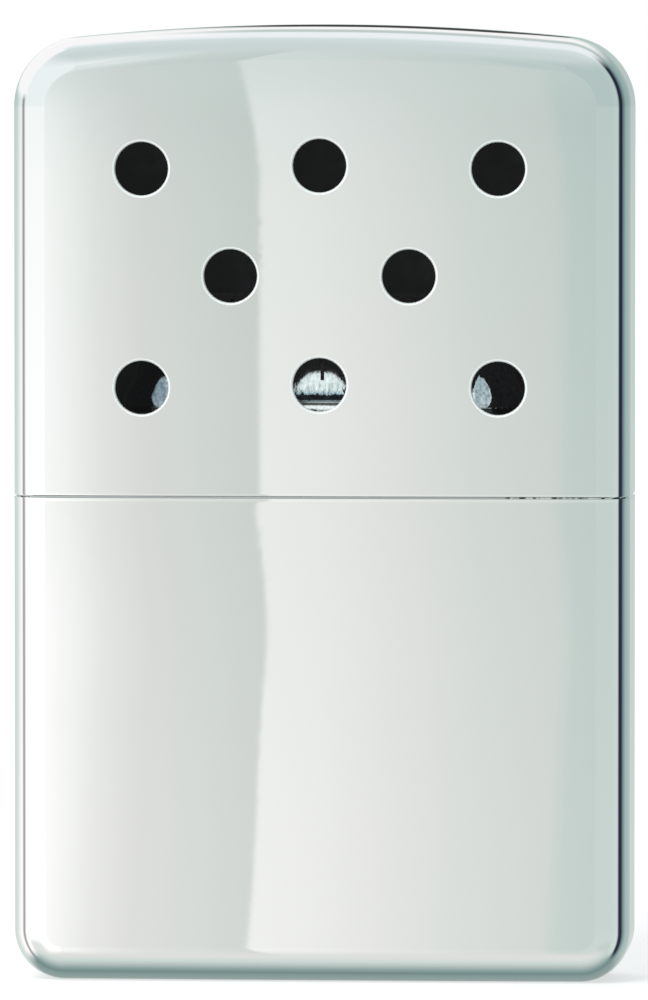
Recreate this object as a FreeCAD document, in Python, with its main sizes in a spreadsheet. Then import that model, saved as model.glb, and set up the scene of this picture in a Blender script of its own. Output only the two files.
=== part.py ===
import FreeCAD, Part

import math
import os

import Sketcher
from FreeCAD import Vector

# A flameless catalytic hand warmer. A thin pressed tank holds fuel in cotton, an oblong neck in
# its top takes a burner that lifts out, and a perforated cover slips over both.
# Millimetres. X runs across the case, Y through its thickness with the front at -Y, and Z up
# from the face that it stands on. The origin is the middle of that face.

doc = FreeCAD.newDocument("HandWarmer")

# ------------------------------------------------------------------ driving dimensions
SIZES = [
    ("case_width", 51.0, "case, side to side"),
    ("case_depth", 13.0, "case, front to back at the middle"),
    ("tank_height", 40.0, "floor to the seam where the cover begins"),
    ("cover_height", 38.9, "seam to the middle of the cover's top"),
    ("face_bow", 0.45, "how far each broad face bows out between its sides"),
    ("top_rise", 1.6, "how far the cover's top arches up between its sides"),
    ("top_corner", 5.8, "radius of the cover's two corners, seen from the front"),
    ("bottom_corner", 4.2, "radius of the tank's two corners, seen from the front"),
    ("edge_radius", 2.9, "radius that rounds the broad faces into the sides"),
    ("wall", 0.5, "sheet of the tank and the cover"),
    ("rim_round", 0.18, "rounding of the two rims that meet at the seam"),
    ("vent_diameter", 4.4, "vent hole in the cover"),
    ("vent_edge", 0.2, "rolled edge of a vent hole"),
    ("vent_pitch", 14.7, "vent holes of one row, centre to centre"),
    ("vent_row_pitch", 9.0, "one row of vent holes to the next"),
    ("vent_first_row", 9.05, "seam to the lowest row of vent holes"),
    ("vent_row_bow", 0.26, "how far a row arches up between its ends"),
    ("sleeve_wall", 0.4, "sheet of the sleeve that closes the tank"),
    ("sleeve_rise", 6.9, "seam to the sleeve's shoulder"),
    ("sleeve_overlap", 8.0, "length of the sleeve down inside the tank"),
    ("sleeve_clearance", 0.08, "gap round the sleeve inside the tank and the cover"),
    ("shoulder_round", 0.8, "rounding of the sleeve's shoulder"),
    ("neck_wall", 0.4, "sheet of the oblong neck"),
    ("neck_length", 5.5, "length of the neck below the shoulder"),
    ("collar_reach", 0.5, "how far the neck's collar reaches out over the shoulder"),
    ("collar_height", 0.8, "height of the neck's collar over the shoulder"),
    ("neck_clearance", 0.05, "gap round the neck in its slot in the shoulder"),
    ("skirt_inset", 0.9, "how far the burner skirt stands in from the cage above it"),
    ("skirt_length", 5.5, "length of the burner skirt below its flange"),
    ("skirt_wall", 0.3, "sheet of the burner skirt"),
    ("skirt_clearance", 0.06, "gap round the burner skirt in the neck"),
    ("skirt_slot_width", 0.5, "spring slot in the burner skirt"),
    ("skirt_slot_length", 4.2, "spring slot, up from the skirt's lower edge"),
    ("skirt_slot_spacing", 15.0, "one spring slot to the other"),
    ("flange_reach", 0.3, "how far the burner flange stands out past the cage"),
    ("flange_thickness", 0.25, "thickness of the burner flange"),
    ("cage_width", 32.6, "burner cage, end to end"),
    ("cage_depth", 7.4, "burner cage, front to back"),
    ("cage_height", 8.7, "burner cage above its flange"),
    ("cage_wall", 0.25, "sheet of the burner cage"),
    ("cage_lean", 12.0, "how far the cage's walls lean inwards, in degrees"),
    ("cage_round", 1.7, "rounding of the cage's top"),
    ("slit_width", 0.3, "slit in the burner cage"),
    ("slit_pitch", 3.8, "one slit to the next"),
    ("slit_count", 7, "number of slits"),
    ("slit_foot", 1.65, "height of the plain band below the slits"),
    ("mat_clearance", 0.15, "gap round the catalyst mat in the cage"),
    ("grid_thickness", 0.3, "thickness of the grid plate under the mat"),
    ("grid_clearance", 0.15, "gap round the grid plate in the cage"),
    ("grid_hole", 1.3, "hole in the grid plate"),
    ("grid_margin", 2.8, "end of the cage to the nearest holes of the grid plate"),
    ("grid_rows", 2, "rows of holes in the grid plate"),
    ("grid_row_pitch", 2.4, "one row of those holes to the next"),
    ("grid_columns", 12, "holes in a row of the grid plate"),
    ("packing_clearance", 0.1, "gap round the cotton and the felt inside the sleeve"),
    ("felt_thickness", 2.0, "thickness of the felt over the cotton"),
    ("felt_headroom", 0.4, "felt to the lower end of the neck"),
]

sheet = doc.addObject("Spreadsheet::Sheet", "Sizes")
for row, (alias, value, meaning) in enumerate(SIZES, 1):
    sheet.set(f"A{row}", meaning)
    sheet.set(f"B{row}", str(value))
    sheet.setAlias(f"B{row}", alias)
doc.recompute()


def mm(alias):
    """One driving dimension, as a number."""
    return float(getattr(sheet, alias))


# Sizes that several pieces share, as formulas on the sheet's cells.
SLEEVE_INSET = "(Sizes.wall + Sizes.sleeve_clearance)"
PACKING_INSET = f"({SLEEVE_INSET} + Sizes.sleeve_wall + Sizes.packing_clearance)"
SHOULDER_Z = "(Sizes.tank_height + Sizes.sleeve_rise)"
FLANGE_Z = f"({SHOULDER_Z} + Sizes.collar_height)"
CAGE_Z = f"({FLANGE_Z} + Sizes.flange_thickness)"
FELT_Z = (
    f"({SHOULDER_Z} - Sizes.neck_length - Sizes.felt_headroom - Sizes.felt_thickness)"
)
SKIRT_WIDTH = "(Sizes.cage_width - 2 * Sizes.skirt_inset)"
SKIRT_DEPTH = "(Sizes.cage_depth - 2 * Sizes.skirt_inset)"
NECK_BORE_WIDTH = f"({SKIRT_WIDTH} + 2 * Sizes.skirt_clearance)"
NECK_BORE_DEPTH = f"({SKIRT_DEPTH} + 2 * Sizes.skirt_clearance)"
NECK_WIDTH = f"({NECK_BORE_WIDTH} + 2 * Sizes.neck_wall)"
NECK_DEPTH = f"({NECK_BORE_DEPTH} + 2 * Sizes.neck_wall)"
GRID_SPAN = "(Sizes.cage_width - 2 * Sizes.grid_margin)"
GRID_PITCH = f"({GRID_SPAN} / (Sizes.grid_columns - 1))"

VENT_ROWS = [3, 2, 3]  # vent holes in each row, from the lowest row up

TOUCH = 0.001  # points closer than this are the same point
QUARTER = math.pi / 2
UP = Vector(0, 0, 1)

sub_parts = []


# ------------------------------------------------------------------ helpers
def new_body(label, height="0"):
    """A sub-part: its own body, with its local floor at the given height."""
    body = doc.addObject("PartDesign::Body", label)
    body.Label = label
    body.setExpression("Placement.Base.z", height)
    sub_parts.append(body)
    return body


def origin_plane(body, role):
    """One of the body's own three planes."""
    return next(plane for plane in body.Origin.OriginFeatures if plane.Role == role)


def new_sketch(body, name, role="XY_Plane", lift="0"):
    """A sketch on one of the body's planes, moved along that plane's normal by lift."""
    sketch = body.newObject("Sketcher::SketchObject", name)
    sketch.AttachmentSupport = [(origin_plane(body, role), "")]
    sketch.MapMode = "FlatFace"
    sketch.setExpression("AttachmentOffset.Base.z", lift)
    return sketch


def size_constraint(sketch, name, formula, *constraint):
    """A named dimension of a sketch, driven by a formula on the sheet."""
    index = sketch.addConstraint(Sketcher.Constraint(*constraint))
    sketch.renameConstraint(index, name)
    sketch.setExpression(f"Constraints.{name}", formula)


def middle(edge):
    """The point half way along an edge."""
    return edge.valueAt((edge.FirstParameter + edge.LastParameter) / 2)


def add_fillet(body, name, radius, edges):
    """Round some edges of the body's newest feature."""
    base = body.Tip
    numbered = enumerate(base.Shape.Edges, 1)
    names = [f"Edge{number}" for number, edge in numbered if any(edge.isSame(e) for e in edges)]
    fillet = body.newObject("PartDesign::Fillet", name)
    fillet.Base = (base, names)
    fillet.setExpression("Radius", radius)
    doc.recompute()


def round_edges(body, name, radius, wanted):
    """Round the edges whose middle point passes the test."""
    edges = [edge for edge in body.Tip.Shape.Edges if wanted(middle(edge))]
    add_fillet(body, name, radius, edges)


def flat_faces(shape, height):
    """The level faces of a shape at a height, each as its name and itself."""
    named = [(f"Face{number}", face) for number, face in enumerate(shape.Faces, 1)]
    return [
        (name, face)
        for name, face in named
        if face.BoundBox.ZLength < TOUCH and abs(face.CenterOfMass.z - height) < TOUCH
    ]


def round_rim(body, name, radius, height):
    """Round the outer loop of the flat rim at a height."""
    _, rim = flat_faces(body.Tip.Shape, height)[0]
    add_fillet(body, name, radius, rim.OuterWire.Edges)


def add_pad(body, sketch, length, downward=False, lean=None):
    """Raise a sketch into a solid, its walls upright or leaning inwards."""
    pad = body.newObject("PartDesign::Pad", sketch.Name + "Pad")
    pad.Profile = sketch
    pad.setExpression("Length", length)
    pad.Reversed = downward
    if lean is not None:
        pad.setExpression("TaperAngle", f"-{lean}")
    doc.recompute()


def add_pocket(body, sketch, length=None, reverse=False, both_ways=False):
    """Cut a sketch out of the solid, to a length or right through, and make sure it cut."""
    before = body.Tip.Shape.Volume
    pocket = body.newObject("PartDesign::Pocket", sketch.Name + "Cut")
    pocket.Profile = sketch
    if length is None:
        pocket.Type = "ThroughAll"
    else:
        pocket.setExpression("Length", length)
    pocket.Midplane = both_ways
    pocket.Reversed = reverse
    doc.recompute()
    if not pocket.Shape.Volume < before - TOUCH:
        raise RuntimeError(f"{pocket.Name} cuts nothing")
    return pocket


def hollow(body, name, thickness, open_height):
    """Hollow the body to a sheet thickness, open at the flat face at one height."""
    base = body.Tip
    shell = body.newObject("PartDesign::Thickness", name)
    shell.Base = (base, [name for name, face in flat_faces(base.Shape, open_height)])
    shell.setExpression("Value", thickness)
    shell.Reversed = True
    doc.recompute()


def repeat(body, name, feature, axis, count, pitch):
    """Copy a cut along one of the body's axes, a number of times at an even pitch."""
    pattern = body.newObject("PartDesign::LinearPattern", name)
    pattern.Originals = [feature]
    pattern.Direction = (origin_plane(body, axis), [""])
    pattern.setExpression("Occurrences", f"Sizes.{count}")
    pattern.setExpression("Length", f"{pitch} * (Sizes.{count} - 1)")
    body.Tip = pattern
    doc.recompute()


# ------------------------------------------------------------------ sections used again
def join_ends(sketch, kind):
    """Join the sketch's four lines into a loop, each end to the next one's start."""
    for number in range(4):
        following = (number + 1) % 4
        sketch.addConstraint(Sketcher.Constraint(kind, number, 2, following, 1))


def bow_arc(half_width, rise):
    """The radius, and half the angle, of an arc that rises this far over its chord."""
    radius = (half_width**2 + rise**2) / (2 * rise)
    return radius, math.asin(half_width / radius)


def bow_radius(width, rise):
    """The same radius, as a formula on the sheet's cells."""
    return f"({width} * {width} / 4 + {rise} * {rise}) / (2 * {rise})"


def case_section(body, name, inset):
    """The case seen from above: straight sides, with the front and back bowed outwards."""
    sketch = new_sketch(body, name)
    half_width = mm("case_width") / 2
    half_depth = mm("case_depth") / 2
    radius, spread = bow_arc(half_width, mm("face_bow"))
    side = half_depth - mm("face_bow")
    front = Part.Circle(Vector(0, radius - half_depth, 0), UP, radius)
    back = Part.Circle(Vector(0, half_depth - radius, 0), UP, radius)
    sketch.addGeometry(Part.ArcOfCircle(front, -QUARTER - spread, -QUARTER + spread))
    sketch.addGeometry(
        Part.LineSegment(Vector(half_width, -side, 0), Vector(half_width, side, 0))
    )
    sketch.addGeometry(Part.ArcOfCircle(back, QUARTER - spread, QUARTER + spread))
    sketch.addGeometry(
        Part.LineSegment(Vector(-half_width, side, 0), Vector(-half_width, -side, 0))
    )
    join_ends(sketch, "Coincident")
    sketch.addConstraint(Sketcher.Constraint("Symmetric", 1, 1, 1, 2, -1))
    sketch.addConstraint(Sketcher.Constraint("Symmetric", 3, 1, 3, 2, -1))
    sketch.addConstraint(Sketcher.Constraint("Symmetric", 0, 1, 0, 2, -2))
    sketch.addConstraint(Sketcher.Constraint("Equal", 0, 2))
    width = f"(Sizes.case_width - 2 * {inset})"
    size_constraint(sketch, "Width", width, "DistanceX", 0, 1, 0, 2, 2 * half_width)
    size_constraint(
        sketch,
        "Side",
        f"Sizes.case_depth - 2 * {inset} - 2 * Sizes.face_bow",
        "DistanceY", 1, 1, 1, 2, 2 * side,
    )
    size_constraint(sketch, "Bow", bow_radius(width, "Sizes.face_bow"), "Radius", 0, radius)
    return sketch


def oblong_section(body, name, width, depth, lift="0"):
    """A slot shape seen from above: two straight sides and two half-round ends."""
    sketch = new_sketch(body, name, "XY_Plane", lift)
    radius = mm("cage_depth") / 2
    reach = mm("cage_width") / 2 - radius
    right = Part.Circle(Vector(reach, 0, 0), UP, radius)
    left = Part.Circle(Vector(-reach, 0, 0), UP, radius)
    sketch.addGeometry(
        Part.LineSegment(Vector(-reach, -radius, 0), Vector(reach, -radius, 0))
    )
    sketch.addGeometry(Part.ArcOfCircle(right, -QUARTER, QUARTER))
    sketch.addGeometry(
        Part.LineSegment(Vector(reach, radius, 0), Vector(-reach, radius, 0))
    )
    sketch.addGeometry(Part.ArcOfCircle(left, QUARTER, 3 * QUARTER))
    join_ends(sketch, "Tangent")
    sketch.addConstraint(Sketcher.Constraint("Horizontal", 0))
    sketch.addConstraint(Sketcher.Constraint("Equal", 1, 3))
    sketch.addConstraint(Sketcher.Constraint("Symmetric", 1, 3, 3, 3, -1, 1))
    size_constraint(sketch, "EndRadius", f"({depth}) / 2", "Radius", 1, radius)
    size_constraint(
        sketch, "Centres", f"({width}) - ({depth})", "DistanceX", 3, 3, 1, 3, 2 * reach
    )
    return sketch


def front_rectangle(body, name, width, low, high, offset="0"):
    """An upright rectangle seen from the front, its middle at offset along X."""
    sketch = new_sketch(body, name, "XZ_Plane")
    corners = [Vector(1, 1, 0), Vector(2, 1, 0), Vector(2, 3, 0), Vector(1, 3, 0)]
    for number in range(4):
        end = corners[(number + 1) % 4]
        sketch.addGeometry(Part.LineSegment(corners[number], end))
    join_ends(sketch, "Coincident")
    for number, direction in enumerate(["Horizontal", "Vertical"] * 2):
        sketch.addConstraint(Sketcher.Constraint(direction, number))
    size_constraint(sketch, "Width", width, "DistanceX", 0, 1, 0, 2, 1)
    size_constraint(sketch, "Tall", f"({high}) - ({low})", "DistanceY", 1, 1, 1, 2, 2)
    size_constraint(sketch, "Low", low, "DistanceY", -1, 1, 0, 1, 1)
    size_constraint(
        sketch, "Left", f"({offset}) - ({width}) / 2", "DistanceX", -1, 1, 0, 1, 1
    )
    return sketch


def on_broad_face(point):
    """True for the edges round the two broad faces, and not for those across the sides."""
    return abs(point.y) > mm("case_depth") / 4


# ------------------------------------------------------------------ tank
def make_tank_shell():
    """The lower half of the case, drawn from one sheet and open at the seam."""
    body = new_body("tank_shell")
    add_pad(body, case_section(body, "TankPlan", "0"), "Sizes.tank_height")
    seam = mm("tank_height")

    def corner(point):
        return not on_broad_face(point) and point.z < TOUCH

    def broad_edge(point):
        return on_broad_face(point) and point.z < seam - TOUCH

    round_edges(body, "TankCorners", "Sizes.bottom_corner", corner)
    round_edges(body, "TankEdges", "Sizes.edge_radius", broad_edge)
    hollow(body, "TankWall", "Sizes.wall", seam)
    round_rim(body, "TankRim", "Sizes.rim_round", seam)


def make_tank_sleeve():
    """The pressed cap soldered into the tank, which the cover slides on."""
    body = new_body("tank_sleeve", "Sizes.tank_height - Sizes.sleeve_overlap")
    height = "(Sizes.sleeve_overlap + Sizes.sleeve_rise)"
    top = mm("sleeve_overlap") + mm("sleeve_rise")
    add_pad(body, case_section(body, "SleevePlan", SLEEVE_INSET), height)

    def upright(point):
        return TOUCH < point.z < top - TOUCH

    def shoulder(point):
        return point.z > top - TOUCH

    round_edges(body, "SleeveEdges", f"Sizes.edge_radius - {SLEEVE_INSET}", upright)
    round_edges(body, "SleeveShoulder", "Sizes.shoulder_round", shoulder)
    hollow(body, "SleeveWall", "Sizes.sleeve_wall", 0)
    slot_width = f"{NECK_WIDTH} + 2 * Sizes.neck_clearance"
    slot_depth = f"{NECK_DEPTH} + 2 * Sizes.neck_clearance"
    slot = oblong_section(body, "NeckSlot", slot_width, slot_depth)
    add_pocket(body, slot, reverse=True)


def make_filler_neck():
    """The oblong neck that fuel is poured through and that grips the burner."""
    body = new_body("filler_neck", SHOULDER_Z)
    collar_width = f"{NECK_WIDTH} + 2 * Sizes.collar_reach"
    collar_depth = f"{NECK_DEPTH} + 2 * Sizes.collar_reach"
    add_pad(
        body, oblong_section(body, "NeckCollar", collar_width, collar_depth), "Sizes.collar_height"
    )
    add_pad(
        body,
        oblong_section(body, "NeckTube", NECK_WIDTH, NECK_DEPTH),
        "Sizes.neck_length",
        downward=True,
    )
    bore = oblong_section(
        body, "NeckBore", NECK_BORE_WIDTH, NECK_BORE_DEPTH, "-Sizes.neck_length"
    )
    add_pocket(body, bore, reverse=True)


def make_cotton_packing():
    """The cotton that soaks up the fuel, from the tank's floor to the felt."""
    body = new_body("cotton_packing", "Sizes.wall")
    height = f"{FELT_Z} - Sizes.wall"
    add_pad(body, case_section(body, "CottonPlan", PACKING_INSET), height)
    top = body.Tip.Shape.BoundBox.ZMax

    def corner(point):
        return not on_broad_face(point) and point.z < TOUCH

    def broad_edge(point):
        return on_broad_face(point) and point.z < top - TOUCH

    round_edges(body, "CottonCorners", f"Sizes.bottom_corner - {PACKING_INSET}", corner)
    round_edges(body, "CottonEdges", f"Sizes.edge_radius - {PACKING_INSET}", broad_edge)


def make_felt_pad():
    """The felt that holds the cotton down, just under the neck."""
    body = new_body("felt_pad", FELT_Z)
    add_pad(body, case_section(body, "FeltPlan", PACKING_INSET), "Sizes.felt_thickness")
    thickness = mm("felt_thickness")

    def upright(point):
        return TOUCH < point.z < thickness - TOUCH

    round_edges(body, "FeltEdges", f"Sizes.edge_radius - {PACKING_INSET}", upright)


# ------------------------------------------------------------------ burner
def make_burner_skirt():
    """The burner's flange, and the springy skirt below it that plugs into the neck."""
    body = new_body("burner_skirt", FLANGE_Z)
    flange_width = "Sizes.cage_width + 2 * Sizes.flange_reach"
    flange_depth = "Sizes.cage_depth + 2 * Sizes.flange_reach"
    flange = oblong_section(body, "Flange", flange_width, flange_depth)
    add_pad(body, flange, "Sizes.flange_thickness")
    skirt = oblong_section(body, "Skirt", SKIRT_WIDTH, SKIRT_DEPTH)
    add_pad(body, skirt, "Sizes.skirt_length", downward=True)
    bore_width = f"{SKIRT_WIDTH} - 2 * Sizes.skirt_wall"
    bore_depth = f"{SKIRT_DEPTH} - 2 * Sizes.skirt_wall"
    bore = oblong_section(body, "SkirtBore", bore_width, bore_depth, "-Sizes.skirt_length")
    add_pocket(body, bore, reverse=True)
    for side, name in ((-1, "LeftSlot"), (1, "RightSlot")):
        slot = front_rectangle(
            body,
            name,
            "Sizes.skirt_slot_width",
            "-Sizes.skirt_length - Sizes.flange_thickness",
            "-Sizes.skirt_length + Sizes.skirt_slot_length",
            f"{side} * Sizes.skirt_slot_spacing / 2",
        )
        add_pocket(body, slot, both_ways=True)


def add_loaf(body, name, inset, height):
    """The burner's loaf shape, inset by some amount: its walls lean in and its top is round."""
    plan = oblong_section(
        body, name, f"Sizes.cage_width - 2 * {inset}", f"Sizes.cage_depth - 2 * {inset}"
    )
    add_pad(body, plan, height, lean="Sizes.cage_lean")
    top = max(vertex.Z for vertex in body.Tip.Shape.Vertexes)

    def top_edge(point):
        return point.z > top - TOUCH

    round_edges(body, name + "Top", f"Sizes.cage_round - {inset}", top_edge)


def make_burner_cage():
    """The loaf-shaped slit housing over the catalyst."""
    body = new_body("burner_cage", CAGE_Z)
    add_loaf(body, "CagePlan", "0", "Sizes.cage_height")
    core = doc.addObject("PartDesign::Body", "CageCore")
    add_loaf(core, "CorePlan", "Sizes.cage_wall", "Sizes.cage_height - Sizes.cage_wall")
    wall = body.newObject("PartDesign::Boolean", "CageWall")
    wall.Type = "Cut"
    wall.setObjects([core])
    doc.recompute()
    slit = front_rectangle(
        body,
        "Slit",
        "Sizes.slit_width",
        "Sizes.slit_foot",
        "Sizes.cage_height + Sizes.cage_wall",
        "-Sizes.slit_pitch * (Sizes.slit_count - 1) / 2",
    )
    cut = add_pocket(body, slit, both_ways=True)
    repeat(body, "SlitRow", cut, "X_Axis", "slit_count", "Sizes.slit_pitch")


def make_mat_grid():
    """The perforated plate that holds the mat up in the cage and lets vapour through."""
    body = new_body("mat_grid", CAGE_Z)
    inset = "2 * (Sizes.cage_wall + Sizes.grid_clearance)"
    plate = oblong_section(
        body, "GridPlate", f"Sizes.cage_width - {inset}", f"Sizes.cage_depth - {inset}"
    )
    add_pad(body, plate, "Sizes.grid_thickness")
    holes = new_sketch(body, "GridHoles")
    start = f"-{GRID_SPAN} / 2"
    for row in range(int(mm("grid_rows"))):
        hole = holes.addGeometry(Part.Circle(Vector(-1, row, 0), Vector(0, 0, 1), 1))
        level = f"Sizes.grid_row_pitch * ({row} - (Sizes.grid_rows - 1) / 2)"
        size_constraint(holes, f"Diameter{row}", "Sizes.grid_hole", "Diameter", hole, 1)
        size_constraint(holes, f"Start{row}", start, "DistanceX", -1, 1, hole, 3, -1)
        size_constraint(holes, f"Level{row}", level, "DistanceY", -1, 1, hole, 3, row)
    cut = add_pocket(body, holes, reverse=True)
    repeat(body, "GridColumns", cut, "X_Axis", "grid_columns", GRID_PITCH)


def make_catalyst_mat():
    """The glass-fibre mat that carries the catalyst, inside the cage."""
    body = new_body("catalyst_mat", f"{CAGE_Z} + Sizes.grid_thickness")
    inset = "(Sizes.cage_wall + Sizes.mat_clearance)"
    height = f"Sizes.cage_height - Sizes.grid_thickness - {inset}"
    add_loaf(body, "MatPlan", inset, height)


# ------------------------------------------------------------------ cover
def make_cover_shell():
    """The upper half of the case, with its arched top and eight vent holes in front."""
    body = new_body("cover_shell", "Sizes.tank_height")
    height = mm("cover_height")
    add_pad(body, case_section(body, "CoverPlan", "0"), "Sizes.cover_height")
    add_pocket(body, top_arch(body), both_ways=True)

    def corner(point):
        return not on_broad_face(point) and point.z > height / 2

    def broad_edge(point):
        return on_broad_face(point) and point.z > TOUCH

    round_edges(body, "CoverCorners", "Sizes.top_corner", corner)
    round_edges(body, "CoverEdges", "Sizes.edge_radius", broad_edge)
    hollow(body, "CoverWall", "Sizes.wall", 0)
    add_pocket(body, vent_holes(body), reverse=True)
    inside_front = -mm("case_depth") / 2 + mm("wall") / 2
    vent_radius = mm("vent_diameter") / 2
    last_row = mm("vent_first_row") + (len(VENT_ROWS) - 1) * mm("vent_row_pitch")
    lowest = mm("vent_first_row") - vent_radius - TOUCH
    highest = last_row + mm("vent_row_bow") + vent_radius + TOUCH
    reach = (max(VENT_ROWS) - 1) * mm("vent_pitch") / 2 + vent_radius + TOUCH

    def vent_edge(point):
        in_rows = lowest < point.z < highest and abs(point.x) < reach
        return in_rows and point.y < inside_front

    round_edges(body, "VentEdges", "Sizes.vent_edge", vent_edge)
    round_rim(body, "CoverRim", "Sizes.rim_round", 0)


def top_arch(body):
    """The waste above the cover's arched top, seen from the front."""
    sketch = new_sketch(body, "TopArch", "XZ_Plane")
    half_width = mm("case_width") / 2
    height = mm("cover_height")
    rise = mm("top_rise")
    radius, spread = bow_arc(half_width, rise)
    circle = Part.Circle(Vector(0, height - radius, 0), UP, radius)
    low = height - rise
    high = height + rise
    sketch.addGeometry(Part.ArcOfCircle(circle, QUARTER - spread, QUARTER + spread))
    corners = [
        Vector(-half_width, low, 0),
        Vector(-half_width, high, 0),
        Vector(half_width, high, 0),
        Vector(half_width, low, 0),
    ]
    for start, end in zip(corners, corners[1:]):
        sketch.addGeometry(Part.LineSegment(start, end))
    join_ends(sketch, "Coincident")
    sketch.addConstraint(Sketcher.Constraint("Vertical", 1))
    sketch.addConstraint(Sketcher.Constraint("Horizontal", 2))
    sketch.addConstraint(Sketcher.Constraint("Vertical", 3))
    sketch.addConstraint(Sketcher.Constraint("Symmetric", 0, 1, 0, 2, -2))
    size_constraint(
        sketch, "Width", "Sizes.case_width", "DistanceX", 0, 2, 0, 1, 2 * half_width
    )
    arch = bow_radius("Sizes.case_width", "Sizes.top_rise")
    size_constraint(sketch, "Arch", arch, "Radius", 0, radius)
    size_constraint(
        sketch, "Low", "Sizes.cover_height - Sizes.top_rise", "DistanceY", -1, 1, 0, 1, low
    )
    size_constraint(
        sketch, "High", "Sizes.cover_height + Sizes.top_rise", "DistanceY", -1, 1, 1, 2, high
    )
    return sketch


def vent_holes(body):
    """The rows of vent holes seen from the front."""
    sketch = new_sketch(body, "VentHoles", "XZ_Plane")
    radius = mm("vent_diameter") / 2

    def add_hole(across, height):
        hole = sketch.addGeometry(Part.Circle(Vector(across, height, 0), UP, radius))
        size_constraint(
            sketch, f"Diameter{hole}", "Sizes.vent_diameter", "Diameter", hole, 2 * radius
        )
        return hole

    longest = max(VENT_ROWS) - 1
    for row, count in enumerate(VENT_ROWS):
        level = f"Sizes.vent_first_row + {row} * Sizes.vent_row_pitch"
        height = mm("vent_first_row") + row * mm("vent_row_pitch")
        reach = mm("vent_pitch") * (count - 1) / 2
        arch = 1 - ((count - 1) / longest) ** 2
        left = add_hole(-reach, height)
        right = add_hole(reach, height)
        sketch.addConstraint(Sketcher.Constraint("Symmetric", left, 3, right, 3, -2))
        size_constraint(
            sketch,
            f"Reach{row}",
            f"Sizes.vent_pitch * {count - 1} / 2",
            "DistanceX", -1, 1, right, 3, reach,
        )
        size_constraint(
            sketch,
            f"Level{row}",
            f"{level} + Sizes.vent_row_bow * {arch}",
            "DistanceY", -1, 1, right, 3, height,
        )
        has_middle_hole = count % 2 == 1
        if has_middle_hole:
            centre = add_hole(0, height)
            sketch.addConstraint(Sketcher.Constraint("PointOnObject", centre, 3, -2))
            size_constraint(
                sketch,
                f"Middle{row}",
                f"{level} + Sizes.vent_row_bow",
                "DistanceY", -1, 1, centre, 3, height,
            )
    return sketch


# ------------------------------------------------------------------ build, test and write
make_tank_shell()
make_tank_sleeve()
make_filler_neck()
make_cotton_packing()
make_felt_pad()
make_burner_skirt()
make_burner_cage()
make_mat_grid()
make_catalyst_mat()
make_cover_shell()
doc.recompute()

for thing in doc.Objects:
    if "Invalid" in thing.State or "Error" in thing.State:
        raise RuntimeError(f"{thing.Name} failed: {thing.State}")
for body in sub_parts:
    shape = body.Shape
    if shape.isNull() or not shape.isValid() or len(shape.Solids) != 1:
        raise RuntimeError(f"{body.Label} is not one sound solid")

os.makedirs("parts", exist_ok=True)
for body in sub_parts:
    body.Shape.exportStep(f"parts/{body.Label}.step")
    box = body.Shape.optimalBoundingBox()
    print(
        f"{body.Label}: {body.Shape.Volume:.1f} mm3,"
        f" x {box.XMin:.2f} to {box.XMax:.2f}, y {box.YMin:.2f} to {box.YMax:.2f},"
        f" z {box.ZMin:.2f} to {box.ZMax:.2f}"
    )
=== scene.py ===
# %% [markdown]
# # A catalytic hand warmer
# The real object is a thin pressed tank with cotton inside, an oblong neck that grips a small
# burner, and a cover with eight vent holes that slips over both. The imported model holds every
# piece in its true place, in metres. This lesson loads it as a fixed frame, builds a finer
# surface for each piece around it, and gives each its finish.

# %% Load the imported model
import math

import bpy
import numpy as np
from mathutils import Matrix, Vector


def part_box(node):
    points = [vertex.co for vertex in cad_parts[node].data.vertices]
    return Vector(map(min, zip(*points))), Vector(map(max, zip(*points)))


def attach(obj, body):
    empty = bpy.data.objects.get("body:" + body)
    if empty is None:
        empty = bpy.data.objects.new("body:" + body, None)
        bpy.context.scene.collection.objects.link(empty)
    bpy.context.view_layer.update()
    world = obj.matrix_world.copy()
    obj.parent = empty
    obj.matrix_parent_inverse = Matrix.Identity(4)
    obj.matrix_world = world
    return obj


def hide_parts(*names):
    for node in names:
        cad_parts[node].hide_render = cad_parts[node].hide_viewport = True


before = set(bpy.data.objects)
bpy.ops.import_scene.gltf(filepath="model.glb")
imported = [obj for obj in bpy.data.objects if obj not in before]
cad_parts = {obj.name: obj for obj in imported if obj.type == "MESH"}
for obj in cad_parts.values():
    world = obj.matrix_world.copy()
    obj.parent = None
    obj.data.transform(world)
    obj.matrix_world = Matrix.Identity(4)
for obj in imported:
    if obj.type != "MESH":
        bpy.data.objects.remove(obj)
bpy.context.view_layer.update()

# %% [markdown]
# ## Sizes
# Shapes are worked out in millimetres, because every number then reads like one on a drawing.
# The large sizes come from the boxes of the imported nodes, so that nothing can drift from them.
# The small ones, such as the thickness of a sheet, are written here once.

# %% Sizes in millimetres
MM = 0.001


def node_box(node):
    """The lowest and the highest corner of a node, in millimetres."""
    low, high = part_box(node)
    return np.array(low) / MM, np.array(high) / MM


_, tank_high = node_box("tank_shell")
_, cover_high = node_box("cover_shell")
HALF_WIDTH = tank_high[0]
HALF_DEPTH = tank_high[1]
SEAM = tank_high[2]
TOP = cover_high[2]

WALL = 0.5  # sheet of the tank and the cover
EDGE = 2.9  # radius that rounds the broad faces into the sides
RIM_BAND = 0.48  # height of the band along each rim that has a shape of its own
RIM_INSIDE = 0.05  # height over the seam where the inner skins begin
FACE_BOW = 0.45  # how far each broad face bows out
print(f"case {2 * HALF_WIDTH:.1f} x {2 * HALF_DEPTH:.1f} x {TOP:.1f} mm, seam at {SEAM:.1f} mm")

# %% [markdown]
# ## Camera
# A long lens from almost a metre away keeps the upright edges parallel, as product pictures do.
# The camera stands a few degrees to the right and a little above. Its lens follows from one
# wish: how many pixels a millimetre of the object should take.

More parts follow.
